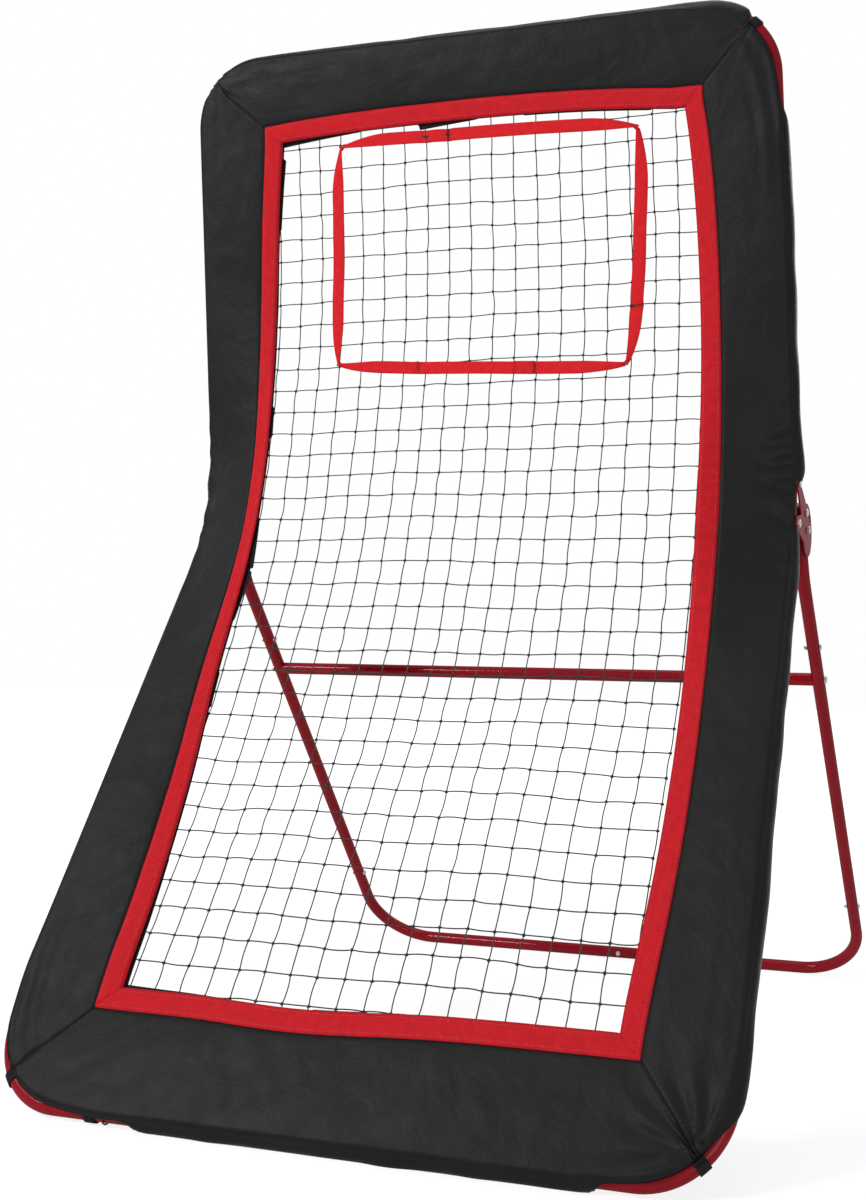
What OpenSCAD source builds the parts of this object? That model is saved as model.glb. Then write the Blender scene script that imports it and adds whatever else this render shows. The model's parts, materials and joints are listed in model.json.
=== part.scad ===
// Pitching target net: a bent tube frame with a knotted net, padded cover,
// strike zone strap and a folding rear leg. Millimetres, +Z up, front towards -Y.

/* [Frame] */
// Distance between the centre lines of the two side tubes
frame_w = 1200; // [1000:10:1400]
// Length of the lower section, from the bottom tube to the knee corner
lower_len = 1172; // [1100:2:1300]
// Length of the upper section, from the knee corner to the top tube
upper_len = 938; // [900:2:1100]
// Angle of the lower section above the floor
lower_angle = 57; // [54:0.5:62]
// Angle of the upper section above the floor
upper_angle = 98.5; // [92:0.5:102]
// Outside diameter of every tube
tube_d = 25; // [24:0.5:28]
// Wall of every tube
tube_wall = 1.2; // [1:0.1:1.6]
// Centre line radius of the four frame corners
corner_r = 127; // [110:1:140]
// Centre line radius of the knee bend
knee_r = 400; // [300:10:480]
// Distance from the bottom tube to the lower side joint, along the tube
lower_joint = 420; // [380:5:480]
// Straight length of a knee tube before and after its bend
knee_straight = 70; // [62:1:90]
// Length of the reduced end that slides into the next tube
spigot_len = 55; // [40:1:60]

/* [Rear leg] */
// Distance from the frame's bottom tube to the leg's floor bar
leg_reach = 1510; // [1450:5:1560]
// Distance of the leg's pivot behind the knee tubes' centre line
pivot_back = 104.6; // [100:0.2:110]
// Distance of the leg's pivot below the middle of the knee bend, along the tube
pivot_drop = 19.6; // [16:0.2:24]
// Angle of the short top section above the floor
leg_top_angle = 113; // [110:0.5:116]
// Length of the short top section, from the bend to the tube's end
leg_top_len = 146; // [144:1:155]
// Distance from the upper bend to the pivot
pivot_up = 99; // [97:0.5:101]
// Centre line radius of the leg's floor corners
leg_corner_r = 140; // [110:1:150]
// Centre line radius of the leg's upper bend
leg_bend_r = 150; // [120:5:170]
// Distance from the floor bar to the crossbar, along the leg
crossbar_up = 895; // [860:1:900]
// Distance from the floor bar to the lower leg joint, along the leg
leg_joint_low = 200; // [195:1:260]
// Distance from the floor bar to the upper leg joint, along the leg
leg_joint_high = 955; // [945:1:985]

/* [Pivot plates] */
// Thickness of a pivot plate
plate_t = 3; // [2.5:0.1:4]
// Gap between a plate and the tube beside it
plate_gap = 0.3; // [0.2:0.05:0.5]
// Radius of the toothed rim around the pivot
rim_r = 50; // [48:0.5:54]
// Depth of a rim tooth
tooth_depth = 3.5; // [2:0.5:4]
// Number of rim teeth
tooth_count = 22; // [12:1:24]
// Radius from the pivot to the clamp bolt
clamp_r = 34; // [33:0.5:35.5]
// How far the leg opens past its standing angle
open_past = 10; // [4:1:12]
// How far the leg folds towards the frame
fold_back = 74; // [60:1:75]
// Distance between the two plate bolts on the knee tube
plate_bolt_gap = 76; // [68:1:80]

/* [Fasteners] */
// Diameter of the pivot, clamp and plate bolts
bolt_d = 8; // [7:0.5:9]
// Clearance around a bolt, on the diameter
bolt_clear = 0.12; // [0.1:0.02:0.3]
// Diameter of the small bolts in the leg joints
small_bolt_d = 6; // [5:0.5:6.5]
// Diameter of the clamp knob
knob_d = 40; // [34:1:44]

/* [Net and straps] */
// Mesh cells across the net
net_cols = 12; // [8:2:12]
// Mesh rows along the net
net_rows = 24; // [12:2:24]
// Thickness of a net strand
strand = 2.6; // [2:0.1:4]
// Bend radius of the net where it spans the knee
net_r = 1500; // [1300:10:1540]
// Width of the webbing border sewn round the net
border_w = 25; // [22:1:28]
// Thickness of the webbing border
border_t = 2.4; // [1.6:0.1:2.4]
// Thickness of an elastic loop's cord
loop_cord = 3; // [2.5:0.1:3.2]
// Spacing of the loops along the sides
loop_gap_side = 146; // [140:1:150]
// Spacing of the loops along the top and bottom
loop_gap_end = 150; // [140:1:152]
// Width of the strike zone, over its straps
zone_w = 630; // [500:5:700]
// Height of the strike zone, over its straps
zone_h = 470; // [400:5:520]
// Distance from the top tube to the top of the strike zone
zone_top = 190; // [180:1:240]
// Width of the strike zone strap
zone_strap_w = 25; // [20:1:30]
// Thickness of the strike zone strap
zone_strap_t = 1.6; // [1:0.1:2]

/* [Padded cover] */
// Width of the side bands, from the tube's centre to the opening
side_band = 175; // [168:1:182]
// Width of the bottom band, from the tube's centre to the opening
bottom_band = 197; // [190:1:205]
// Width of the top band, from the tube's centre to the opening
top_band = 177; // [170:1:185]
// Width of the coloured trim round the opening
trim_w = 38; // [30:1:42]
// Height of the cover's front above the tube's centre
cover_front = 25; // [24:0.5:28]
// Thickness of the padding
pad_t = 6.6; // [5.5:0.1:6.8]
// Height of the trim's front above the net at the opening
trim_front = 11; // [10.5:0.5:13]
// Thickness of the fabric that wraps the tube
wrap_t = 1.1; // [0.8:0.1:1.5]
// Half length of the wrap along the top and bottom tubes
wrap_half = 340; // [280:5:370]
// Width of the hook and loop straps
strap_w = 20; // [15:1:25]
// Thickness of the hook and loop straps
strap_t = 2.5; // [1.5:0.1:3]
// Distance of the bottom and top straps from the middle
strap_x = 400; // [395:1:410]

/* [Hidden] */
$fn = 48;

tube_r = tube_d / 2;
bore_r = tube_r - tube_wall;
half_w = frame_w / 2;
bend = upper_angle - lower_angle;
bolt_hole = bolt_d + bolt_clear;
eps = 0.01;

// The wrap passes over the elastic loops, which pass round the tube
loop_in = tube_r + 0.4;
loop_out = loop_in + loop_cord;
wrap_in = loop_out + 0.2;
wrap_out = wrap_in + wrap_t;
hem = 25;

wrap_steps = 6;
vertex_r = 1 / cos(90 / wrap_steps);
function ring_points(r, a0, a1) = [
  for (i = [0:wrap_steps]) let (a = a0 + (a1 - a0) * i / wrap_steps) [r * cos(a), r * sin(a)]
];
// The wrap's facets are turned so that the frame stands on a flat one, straight below its bottom tube
foot_facet = 3.5;
wrap_from = 270 - lower_angle * wrap_steps / (wrap_steps - foot_facet);
frame_z = wrap_out * vertex_r * cos((270 - wrap_from) / wrap_steps / 2);

// Path of a bent section: [y, z, angle] at a length s measured along the path
function bend_cut(r) = r * tan(bend / 2);
function bend_arc(r) = r * bend * PI / 180;
function bend_from(r) = lower_len - bend_cut(r);
function path_len(r) = lower_len + upper_len - 2 * bend_cut(r) + bend_arc(r);
function bend_centre(r) = [
  bend_from(r) * cos(lower_angle) - r * sin(lower_angle),
  frame_z + bend_from(r) * sin(lower_angle) + r * cos(lower_angle)
];
function on_arc(r, a) = [
  bend_centre(r)[0] + r * sin(a),
  bend_centre(r)[1] - r * cos(a),
  a
];
function path(r, s) =
  s < bend_from(r)
  ? [s * cos(lower_angle), frame_z + s * sin(lower_angle), lower_angle]
  : s < bend_from(r) + bend_arc(r)
  ? on_arc(r, lower_angle + (s - bend_from(r)) / r * 180 / PI)
  : let (a = on_arc(r, upper_angle), rest = s - bend_from(r) - bend_arc(r))
    [a[0] + rest * cos(upper_angle), a[1] + rest * sin(upper_angle), upper_angle];

// A place along the frame is given on its sharp outline, from 0 at the bottom tube
full_len = lower_len + upper_len;
net_from = bend_from(net_r);
net_to = lower_len + bend_cut(net_r);
function along(r, p) =
  p < net_from ? p
  : p > net_to ? path_len(r) - (full_len - p)
  : net_from + (p - net_from) / (net_to - net_from) * (path_len(r) - net_from - full_len + net_to);
function tube_at(p) = path(knee_r, along(knee_r, p));
function net_at(p) = path(net_r, along(net_r, p));
function lift(q, v) = [q[0] - v * sin(q[2]), q[1] + v * cos(q[2])];

// Leg places
plate_mid = bend_from(knee_r) + bend_arc(knee_r) / 2;
plate_at = path(knee_r, plate_mid);
pivot = [
  plate_at[0] + pivot_back * sin(plate_at[2]) - pivot_drop * cos(plate_at[2]),
  plate_at[1] - pivot_back * cos(plate_at[2]) - pivot_drop * sin(plate_at[2])
];
leg_knee = [pivot[0] - pivot_up * cos(leg_top_angle), pivot[1] - pivot_up * sin(leg_top_angle)];
leg_len = norm([leg_knee[0] - leg_reach, leg_knee[1] - tube_r]);
leg_dir = atan2(leg_knee[1] - tube_r, leg_knee[0] - leg_reach);
leg_bend = leg_dir - leg_top_angle;
leg_cut = leg_bend_r * tan(leg_bend / 2);
plate_bolt_low = path(knee_r, plate_mid - plate_bolt_gap / 2);
plate_bolt_high = path(knee_r, plate_mid + plate_bolt_gap / 2);
plate_in = tube_r + plate_gap;
plate_out = plate_in + plate_t;
head_h = 5;
nut_h = 6.5;
small_head_h = 3.5;
small_nut_h = 4.5;

// Elastic loop places
loop_edge = 4.5;
loop_hole = side_band - border_w + loop_edge;
side_loop_end = 5;
end_loop_end = 1.8;
side_loops = concat(
  [for (i = [0:6]) lower_len - loop_gap_side * (i + 0.5)],
  [for (i = [0:4]) lower_len + loop_gap_side * (i + 0.5)]
);
end_loops = [for (i = [-2.5:2.5]) i * loop_gap_end];
bottom_loop_hole = bottom_band - 17;
top_loop_hole = top_band - 17;

// The model is centred front to back over its footprint
front_y = -(cover_front - 1) * sin(lower_angle) - 8 * cos(lower_angle);
rear_y = leg_reach + tube_r + small_head_h + 0.01;
mid_y = (front_y + rear_y) / 2;

module stand() { translate([0, -mid_y, 0]) children(); }
module both() { children(); mirror([1, 0, 0]) children(); }
module at(q) { translate([0, q[0], q[1]]) rotate([q[2], 0, 0]) children(); }
module upright_profile(x) { translate([x, 0, 0]) rotate([90, 0, 90]) children(); }

// Tube pieces, drawn along +Y of the place that they stand in
module pipe(len, r = tube_r, bore = bore_r) {
  rotate([-90, 0, 0]) difference() {
    cylinder(r = r, h = len);
    translate([0, 0, -1]) cylinder(r = bore, h = len + 2);
  }
}
spigot_r = bore_r - 0.1;
neck = 3;
joint_gap = 0.1;
module spigot() {
  translate([0, -neck, 0]) pipe(neck - joint_gap, tube_r, spigot_r - tube_wall);
  translate([0, -neck / 2, 0]) pipe(spigot_len, spigot_r, spigot_r - tube_wall);
}
module pipe_ring(r, angle) {
  rotate_extrude(angle = angle, $fn = 96) translate([r, 0]) difference() {
    circle(r = tube_r);
    circle(r = bore_r);
  }
}
// Welded bead where a bent length meets a straight one
bead_h = 0.2;
module bead() { translate([0, -1.5, 0]) pipe(3, tube_r + bead_h, bore_r - bead_h); }
module cross_hole(d) { rotate([0, 90, 0]) cylinder(d = d, h = 3 * tube_d, center = true); }
module level_hole(d) { rotate([90 - leg_dir, 0, 0]) cylinder(d = d, h = 3 * tube_d, center = true); }
module level_bolt() { rotate([90 - leg_dir, 0, 0]) rotate([0, 90, 0]) children(); }
module back_hole(d) { translate([0, 0, -tube_d]) cylinder(d = d, h = tube_d); }

button_d = 7;
button_hole = button_d + 0.2;
button_inset = 28;

// Frame tubes, right hand side
knee_from = bend_from(knee_r) - knee_straight;
knee_to = bend_from(knee_r) + bend_arc(knee_r) + knee_straight;
module lower_corner() {
  at(path(knee_r, 0)) difference() {
    union() {
      rotate([0, 0, -90]) pipe(half_w - corner_r);
      translate([half_w - corner_r, corner_r, 0]) rotate([0, 0, -90]) pipe_ring(corner_r, 90);
      translate([half_w, corner_r, 0]) pipe(lower_joint - corner_r - joint_gap);
      translate([half_w, lower_joint, 0]) spigot();
    }
    translate([half_w, lower_joint + button_inset, 0]) back_hole(button_hole);
    if ($middle_bore) translate([button_inset, 0, 0]) back_hole(button_hole);
  }
}
module middle_spigot() { rotate([0, 0, -90]) spigot(); }
module lower_side() {
  at(path(knee_r, lower_joint)) translate([half_w, 0, 0]) difference() {
    union() {
      pipe(knee_from - lower_joint - joint_gap);
      translate([0, knee_from - lower_joint, 0]) spigot();
    }
    translate([0, button_inset, 0]) back_hole(button_hole);
    translate([0, knee_from - lower_joint + button_inset, 0]) back_hole(button_hole);
  }
}
module knee_turn(r, a) { translate([0, 0, r]) rotate([a, 0, 0]) translate([0, 0, -r]) children(); }
module knee_tube() {
  plate_turn = plate_bolt_gap / 2 / knee_r * 180 / PI;
  at(path(knee_r, bend_from(knee_r))) translate([half_w, 0, 0]) difference() {
    union() {
      translate([0, -knee_straight, 0]) pipe(knee_straight);
      bead();
      translate([0, 0, knee_r]) rotate([0, 90, 0]) pipe_ring(knee_r, bend);
      knee_turn(knee_r, bend) {
        bead();
        pipe(knee_straight - joint_gap);
        translate([0, knee_straight, 0]) spigot();
      }
    }
    translate([0, button_inset - knee_straight, 0]) back_hole(button_hole);
    knee_turn(knee_r, bend) translate([0, knee_straight + button_inset, 0]) back_hole(button_hole);
    knee_turn(knee_r, bend / 2 - plate_turn) cross_hole(bolt_hole);
    knee_turn(knee_r, bend / 2 + plate_turn) cross_hole(bolt_hole);
  }
}
top_path = path_len(knee_r);
module upper_corner() {
  at(path(knee_r, top_path)) difference() {
    union() {
      rotate([0, 0, -90]) pipe(half_w - corner_r);
      translate([half_w - corner_r, -corner_r, 0]) pipe_ring(corner_r, 90);
      translate([half_w, knee_to - top_path, 0]) pipe(top_path - knee_to - corner_r);
    }
    translate([half_w, knee_to - top_path + button_inset, 0]) back_hole(button_hole);
    if ($middle_bore) translate([button_inset, 0, 0]) back_hole(button_hole);
  }
}
module frame_red() { color([0.62, 0.08, 0.13]) children(); }
module lower_corner_right() { frame_red() lower_corner($middle_bore = true); }
module lower_corner_left() {
  frame_red() {
    mirror([1, 0, 0]) lower_corner($middle_bore = false);
    difference() {
      at(path(knee_r, 0)) middle_spigot();
      at(path(knee_r, 0)) translate([button_inset, 0, 0]) back_hole(button_hole);
    }
  }
}
module lower_side_right() { frame_red() lower_side(); }
module lower_side_left() { frame_red() mirror([1, 0, 0]) lower_side(); }
module knee_tube_right() { frame_red() knee_tube(); }
module knee_tube_left() { frame_red() mirror([1, 0, 0]) knee_tube(); }
module upper_corner_right() { frame_red() upper_corner($middle_bore = true); }
module upper_corner_left() {
  frame_red() {
    mirror([1, 0, 0]) upper_corner($middle_bore = false);
    difference() {
      at(path(knee_r, top_path)) middle_spigot();
      at(path(knee_r, top_path)) translate([button_inset, 0, 0]) back_hole(button_hole);
    }
  }
}

// Sprung buttons that lock the frame joints, with the leaf that pushes each one out
button_out = 2.5;
leaf = [8, 22, 1];
leaf_depth = spigot_r - tube_wall - 2.2;
module snap_button() {
  translate([0, 0, -tube_r - button_out]) cylinder(d = button_d - 1.6, h = 1);
  translate([0, 0, -tube_r - button_out + 0.9])
    cylinder(d = button_d, h = button_out + tube_r - leaf_depth - 0.5);
  translate([-leaf[0] / 2, -leaf[1] / 2, -leaf_depth]) cube(leaf);
}
module frame_snap_buttons() {
  color([0.75, 0.76, 0.78]) {
    for (s = [lower_joint, knee_from, knee_to])
      at(path(knee_r, s + button_inset)) both() translate([half_w, 0, 0]) snap_button();
    for (s = [0, top_path])
      at(path(knee_r, s)) translate([button_inset, 0, 0]) rotate([0, 0, 90]) snap_button();
  }
}

// Pivot plates, drawn in the side view (2D x is Y, 2D y is Z)
slot_from = leg_top_angle - fold_back - 1;
slot_to = leg_top_angle + open_past + 1;
tooth_from = -75;
tooth_to = 105;
ear_r = 14;
function round_arc(c, r, a0, a1, n) = [
  for (i = [0:n]) let (a = a0 + (a1 - a0) * i / n) [c[0] + r * cos(a), c[1] + r * sin(a)]
];
module arc_slot() {
  slot_r = bolt_d / 2 + 0.3;
  head = [clamp_r * cos(slot_to), clamp_r * sin(slot_to)];
  foot = [clamp_r * cos(slot_from), clamp_r * sin(slot_from)];
  polygon(concat(
    round_arc([0, 0], clamp_r + slot_r, slot_from + 1, slot_to - 1, 30),
    round_arc(head, slot_r, slot_to, slot_to + 180, 10),
    round_arc([0, 0], clamp_r - slot_r, slot_to - 1, slot_from + 1, 30),
    round_arc(foot, slot_r, slot_from + 180, slot_from + 360, 10)
  ));
}
module rim_tooth() {
  polygon([[rim_r + 1, -2.7], [rim_r + 1, 2.7], [rim_r - tooth_depth, 0]]);
}
function side_of(a, b, r) =
  let (d = [b[0] - a[0], b[1] - a[1]], n = norm(d)) [-d[1] / n * r, d[0] / n * r];
module plate_web(a, ra, b, rb) {
  na = side_of(a, b, ra);
  nb = side_of(a, b, rb);
  polygon([
    [a[0] - na[0], a[1] - na[1]], [b[0] - nb[0], b[1] - nb[1]],
    [b[0] + nb[0], b[1] + nb[1]], [a[0] + na[0], a[1] + na[1]]
  ]);
}
module plate_outline() {
  difference() {
    union() {
      translate(pivot) circle(r = rim_r, $fn = 96);
      for (b = [plate_bolt_low, plate_bolt_high]) translate([b[0], b[1]]) circle(r = ear_r);
      plate_web([plate_bolt_low[0], plate_bolt_low[1]], ear_r * 0.9, pivot, rim_r * 0.75);
      plate_web([plate_bolt_high[0], plate_bolt_high[1]], ear_r * 0.9, pivot, rim_r * 0.75);
    }
    for (i = [0:tooth_count - 1])
      translate(pivot) rotate(tooth_from + (tooth_to - tooth_from) * i / (tooth_count - 1)) rim_tooth();
    translate(pivot) arc_slot();
    translate(pivot) circle(d = bolt_hole);
    for (b = [plate_bolt_low, plate_bolt_high]) translate([b[0], b[1]]) circle(d = bolt_hole);
  }
}
module plate(x) { upright_profile(x) linear_extrude(plate_t) plate_outline(); }
module zinc() { color([0.72, 0.73, 0.75]) children(); }
module plate_outer_right() { frame_red() plate(half_w + plate_in); }
module plate_inner_right() { frame_red() plate(half_w - plate_out); }
module plate_outer_left() { frame_red() plate(-half_w - plate_out); }
module plate_inner_left() { frame_red() plate(-half_w + plate_in); }

// Bolt along X through the place, head outside and nut inside, right hand side
seat = 0.02;
module along_x(x) { translate([x, 0, 0]) rotate([0, 90, 0]) children(); }
module bolt_head(d, x, head) {
  along_x(x + seat) cylinder(d = d * 1.9, h = head * 0.75);
  along_x(x + seat + head * 0.75 - eps) cylinder(d1 = d * 1.9, d2 = d * 1.2, h = head * 0.25);
}
module hex_bolt(d, grip_in, grip_out, head, nut) {
  along_x(-grip_in - nut - 1.5) cylinder(d = d, h = grip_in + nut + 2.5 + grip_out);
  bolt_head(d, grip_out, head);
}
module hex_nut(d, grip_in, nut) {
  translate([-grip_in - nut - seat, 0, 0]) rotate([0, 90, 0]) difference() {
    cylinder(d = d * 1.85, h = nut, $fn = 6);
    translate([0, 0, -1]) cylinder(d = d + 0.1, h = nut + 2);
  }
}
module plate_bolts() {
  zinc() both() for (b = [plate_bolt_low, plate_bolt_high])
    translate([half_w, b[0], b[1]]) hex_bolt(bolt_d, plate_out, plate_out, head_h, nut_h);
}
module plate_nuts() {
  zinc() both() for (b = [plate_bolt_low, plate_bolt_high])
    translate([half_w, b[0], b[1]]) hex_nut(bolt_d, plate_out, nut_h);
}
module pivot_bolts() {
  zinc() both() translate([half_w, pivot[0], pivot[1]]) hex_bolt(bolt_d, plate_out, plate_out, head_h, nut_h);
}
module pivot_nuts() {
  zinc() both() translate([half_w, pivot[0], pivot[1]]) hex_nut(bolt_d, plate_out, nut_h);
}

// Leg tubes, right hand side; the leg's own place runs up its long section
module on_leg(t) { translate([0, leg_reach, tube_r]) rotate([leg_dir, 0, 0]) translate([0, t, 0]) children(); }
module on_leg_top(t) { translate([0, leg_knee[0], leg_knee[1]]) rotate([leg_top_angle, 0, 0]) translate([0, t, 0]) children(); }
small_hole = small_bolt_d + bolt_clear;
leg_bolt_inset = 25;
module leg_upper() {
  low = leg_len - leg_cut - leg_joint_high;
  on_leg(leg_len - leg_cut) translate([half_w, 0, 0]) difference() {
    union() {
      translate([0, -low, 0]) pipe(low);
      bead();
      translate([0, 0, -leg_bend_r]) rotate([0, -90, 0]) pipe_ring(leg_bend_r, leg_bend);
      knee_turn(-leg_bend_r, -leg_bend) {
        bead();
        pipe(leg_top_len - leg_cut);
      }
    }
    translate([0, leg_bolt_inset - low, 0]) cross_hole(small_hole);
    knee_turn(-leg_bend_r, -leg_bend) {
      translate([0, pivot_up - leg_cut, 0]) cross_hole(bolt_hole);
      translate([0, pivot_up - leg_cut + clamp_r, 0]) cross_hole(bolt_hole);
    }
  }
}
module leg_side() {
  on_leg(0) translate([half_w, 0, 0]) difference() {
    union() {
      translate([0, leg_joint_low, 0]) pipe(leg_joint_high - leg_joint_low - joint_gap);
      translate([0, leg_joint_high, 0]) spigot();
    }
    translate([0, leg_joint_low + leg_bolt_inset, 0]) cross_hole(small_hole);
    translate([0, leg_joint_high + leg_bolt_inset, 0]) cross_hole(small_hole);
    translate([0, crossbar_up, 0]) cross_hole(bolt_hole);
  }
}
module leg_corner(open_middle) {
  on_leg(0) difference() {
    union() {
      rotate([0, 0, -90]) pipe(half_w - leg_corner_r);
      translate([half_w - leg_corner_r, leg_corner_r, 0]) rotate([0, 0, -90]) pipe_ring(leg_corner_r, 90);
      translate([half_w, leg_corner_r, 0]) pipe(leg_joint_low - leg_corner_r - joint_gap);
      translate([half_w, leg_joint_low, 0]) spigot();
    }
    translate([half_w, leg_joint_low + leg_bolt_inset, 0]) cross_hole(small_hole);
    if (open_middle) translate([leg_bolt_inset, 0, 0]) level_hole(small_hole);
  }
}
module leg_upper_right() { frame_red() leg_upper(); }
module leg_upper_left() { frame_red() mirror([1, 0, 0]) leg_upper(); }
module leg_side_right() { frame_red() leg_side(); }
module leg_side_left() { frame_red() mirror([1, 0, 0]) leg_side(); }
module leg_corner_right() { frame_red() leg_corner(true); }
module leg_corner_left() {
  frame_red() {
    mirror([1, 0, 0]) leg_corner(false);
    on_leg(0) difference() {
      middle_spigot();
      translate([leg_bolt_inset, 0, 0]) level_hole(small_hole);
    }
  }
}

// Crossbar with ends shaped to the leg tubes and a threaded plug at each end
insert_len = 30;
module leg_crossbar() {
  frame_red() on_leg(crossbar_up) difference() {
    union() {
      translate([-half_w, 0, 0]) rotate([0, 0, -90]) pipe(frame_w);
      both() translate([half_w - tube_r - insert_len, 0, 0]) rotate([0, 0, -90]) pipe(insert_len, bore_r + eps, bolt_d / 2 + 0.1);
    }
    both() translate([half_w, 0, 0]) rotate([90, 0, 0]) cylinder(r = tube_r + 0.05, h = 3 * tube_d, center = true);
  }
}
module crossbar_bolts() {
  zinc() both() on_leg(crossbar_up) translate([half_w, 0, 0]) {
    along_x(-tube_r - 22) cylinder(d = bolt_d, h = 2 * tube_r + 23);
    bolt_head(bolt_d, tube_r, head_h);
  }
}
module pivot_bushes() {
  bush_r = bolt_d / 2 + 2;
  bush_len = 2 * sqrt(bore_r * bore_r - bush_r * bush_r) - 0.2;
  zinc() both() on_leg_top(pivot_up) translate([half_w, 0, 0]) rotate([0, 90, 0]) difference() {
    cylinder(r = bush_r, h = bush_len, center = true);
    cylinder(d = bolt_hole, h = tube_d, center = true);
  }
}
module leg_joint_bolts() {
  zinc() {
    both() for (t = [leg_joint_low, leg_joint_high]) on_leg(t + leg_bolt_inset) translate([half_w, 0, 0])
      hex_bolt(small_bolt_d, tube_r, tube_r, small_head_h, small_nut_h);
    on_leg(0) translate([leg_bolt_inset, 0, 0]) level_bolt()
      hex_bolt(small_bolt_d, tube_r, tube_r, small_head_h, small_nut_h);
  }
}
module leg_joint_nuts() {
  zinc() {
    both() for (t = [leg_joint_low, leg_joint_high]) on_leg(t + leg_bolt_inset) translate([half_w, 0, 0])
      hex_nut(small_bolt_d, tube_r, small_nut_h);
    on_leg(0) translate([leg_bolt_inset, 0, 0]) level_bolt() hex_nut(small_bolt_d, tube_r, small_nut_h);
  }
}
cap_plug = leg_top_len - pivot_up - clamp_r - bolt_d / 2 - 2;
module leg_end_caps() {
  color([0.12, 0.12, 0.13]) both() on_leg_top(leg_top_len) translate([half_w, 0, 0]) rotate([-90, 0, 0]) {
    translate([0, 0, -cap_plug]) cylinder(r = bore_r - 0.1, h = cap_plug + eps);
    cylinder(r = tube_r, h = 2);
    translate([0, 0, 2 - eps]) cylinder(r1 = tube_r, r2 = tube_r - 3, h = 2);
  }
}

// Clamp bolt through both plates' slots, with a star knob on its inner end
knob_t = 16;
knob_gap = 0.25;
lobe_r = 6;
module clamp_bolts() {
  zinc() both() on_leg_top(pivot_up + clamp_r) translate([half_w, 0, 0]) {
    along_x(-plate_out - knob_t + 2) cylinder(d = bolt_d, h = 2 * plate_out + knob_t - 1 + knob_gap);
    along_x(plate_out + knob_gap) cylinder(d = bolt_d * 2, h = 2);
    along_x(plate_out + knob_gap + 2 - eps) cylinder(d1 = bolt_d * 2, d2 = bolt_d, h = 2);
  }
}
module clamp_knob() {
  on_leg_top(pivot_up + clamp_r) translate([half_w - plate_out - knob_gap, 0, 0]) rotate([0, -90, 0]) difference() {
    union() {
      cylinder(d = knob_d - lobe_r, h = knob_t - 4);
      for (a = [0:60:300]) rotate([0, 0, a]) translate([knob_d / 2 - lobe_r, 0, 0]) cylinder(r = lobe_r, h = knob_t - 4);
      cylinder(d = knob_d * 0.5, h = knob_t);
    }
    translate([0, 0, -1]) cylinder(d = bolt_hole, h = knob_t - 0.5);
  }
}
module clamp_knob_right() { color([0.12, 0.12, 0.13]) clamp_knob(); }
module clamp_knob_left() { color([0.12, 0.12, 0.13]) mirror([1, 0, 0]) clamp_knob(); }

// Net, as flat panels of two rows each that follow the net's curve
open_half = half_w - side_band;
net_low = bottom_band;
net_high = full_len - top_band;
net_path_low = along(net_r, net_low);
net_path_high = along(net_r, net_high);
panels = net_rows;
function panel_end(i) = path(net_r, net_path_low + (net_path_high - net_path_low) * i / panels);
// A sheet that lies on the net's panels from p0 to p1, x0 to x1 across, v0 to v1 high
function panel_s(i) = net_path_low + (net_path_high - net_path_low) * i / panels;
function panel_angle(i) =
  let (a = panel_end(i), b = panel_end(i + 1)) atan2(b[1] - a[1], b[0] - a[0]);
function joint_angle(i) =
  i <= 0 ? panel_angle(0) : i >= panels ? panel_angle(panels - 1)
  : (panel_angle(i - 1) + panel_angle(i)) / 2;
function on_panels(s) =
  let (
    i = max(0, min(panels - 1, floor((s - net_path_low) / (panel_s(1) - panel_s(0))))),
    a = panel_end(i), b = panel_end(i + 1), w = (s - panel_s(i)) / (panel_s(1) - panel_s(0))
  ) [a[0] + (b[0] - a[0]) * w, a[1] + (b[1] - a[1]) * w, panel_angle(i)];
function sheet_side(s0, s1, v) = concat(
  [lift(on_panels(s0), v)],
  [for (i = [0:panels]) if (panel_s(i) > s0 + 1 && panel_s(i) < s1 - 1)
    lift([panel_end(i)[0], panel_end(i)[1], joint_angle(i)], v)],
  [lift(on_panels(s1), v)]
);
function turned(list) = [for (i = [len(list) - 1:-1:0]) list[i]];
module path_sheet(s0, s1, x0, x1, v0, v1) {
  upright_profile(x0) linear_extrude(x1 - x0)
    polygon(concat(sheet_side(s0, s1, v0), turned(sheet_side(s0, s1, v1))));
}
module sheet(p0, p1, x0, x1, v0, v1) {
  path_sheet(along(net_r, p0), along(net_r, p1), x0, x1, v0, v1);
}
module cells(i) {
  a = panel_end(i);
  b = panel_end(i + 1);
  row = norm([b[0] - a[0], b[1] - a[1]]);
  col = 2 * open_half / net_cols;
  translate([0, a[0], a[1]]) rotate([panel_angle(i), 0, 0])
    for (k = [0:net_cols - 1])
      translate([k * col - open_half + strand / 2, strand / 2, -3])
        cube([col - strand, row - strand, 6]);
}
// The net is sewn up from strips of three rows, each nearly flat
strip_rows = 3;
strip_gap = 0.05;
module net() {
  color([0.08, 0.08, 0.09]) for (from = [0:strip_rows:panels - 1]) difference() {
    to = min(from + strip_rows, panels);
    path_sheet(panel_s(from) + strip_gap, panel_s(to) - strip_gap, -open_half, open_half, -strand / 2, strand / 2);
    for (i = [from:to - 1]) cells(i);
  }
}
border_low = net_low - border_w;
border_high = net_high + border_w;

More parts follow.
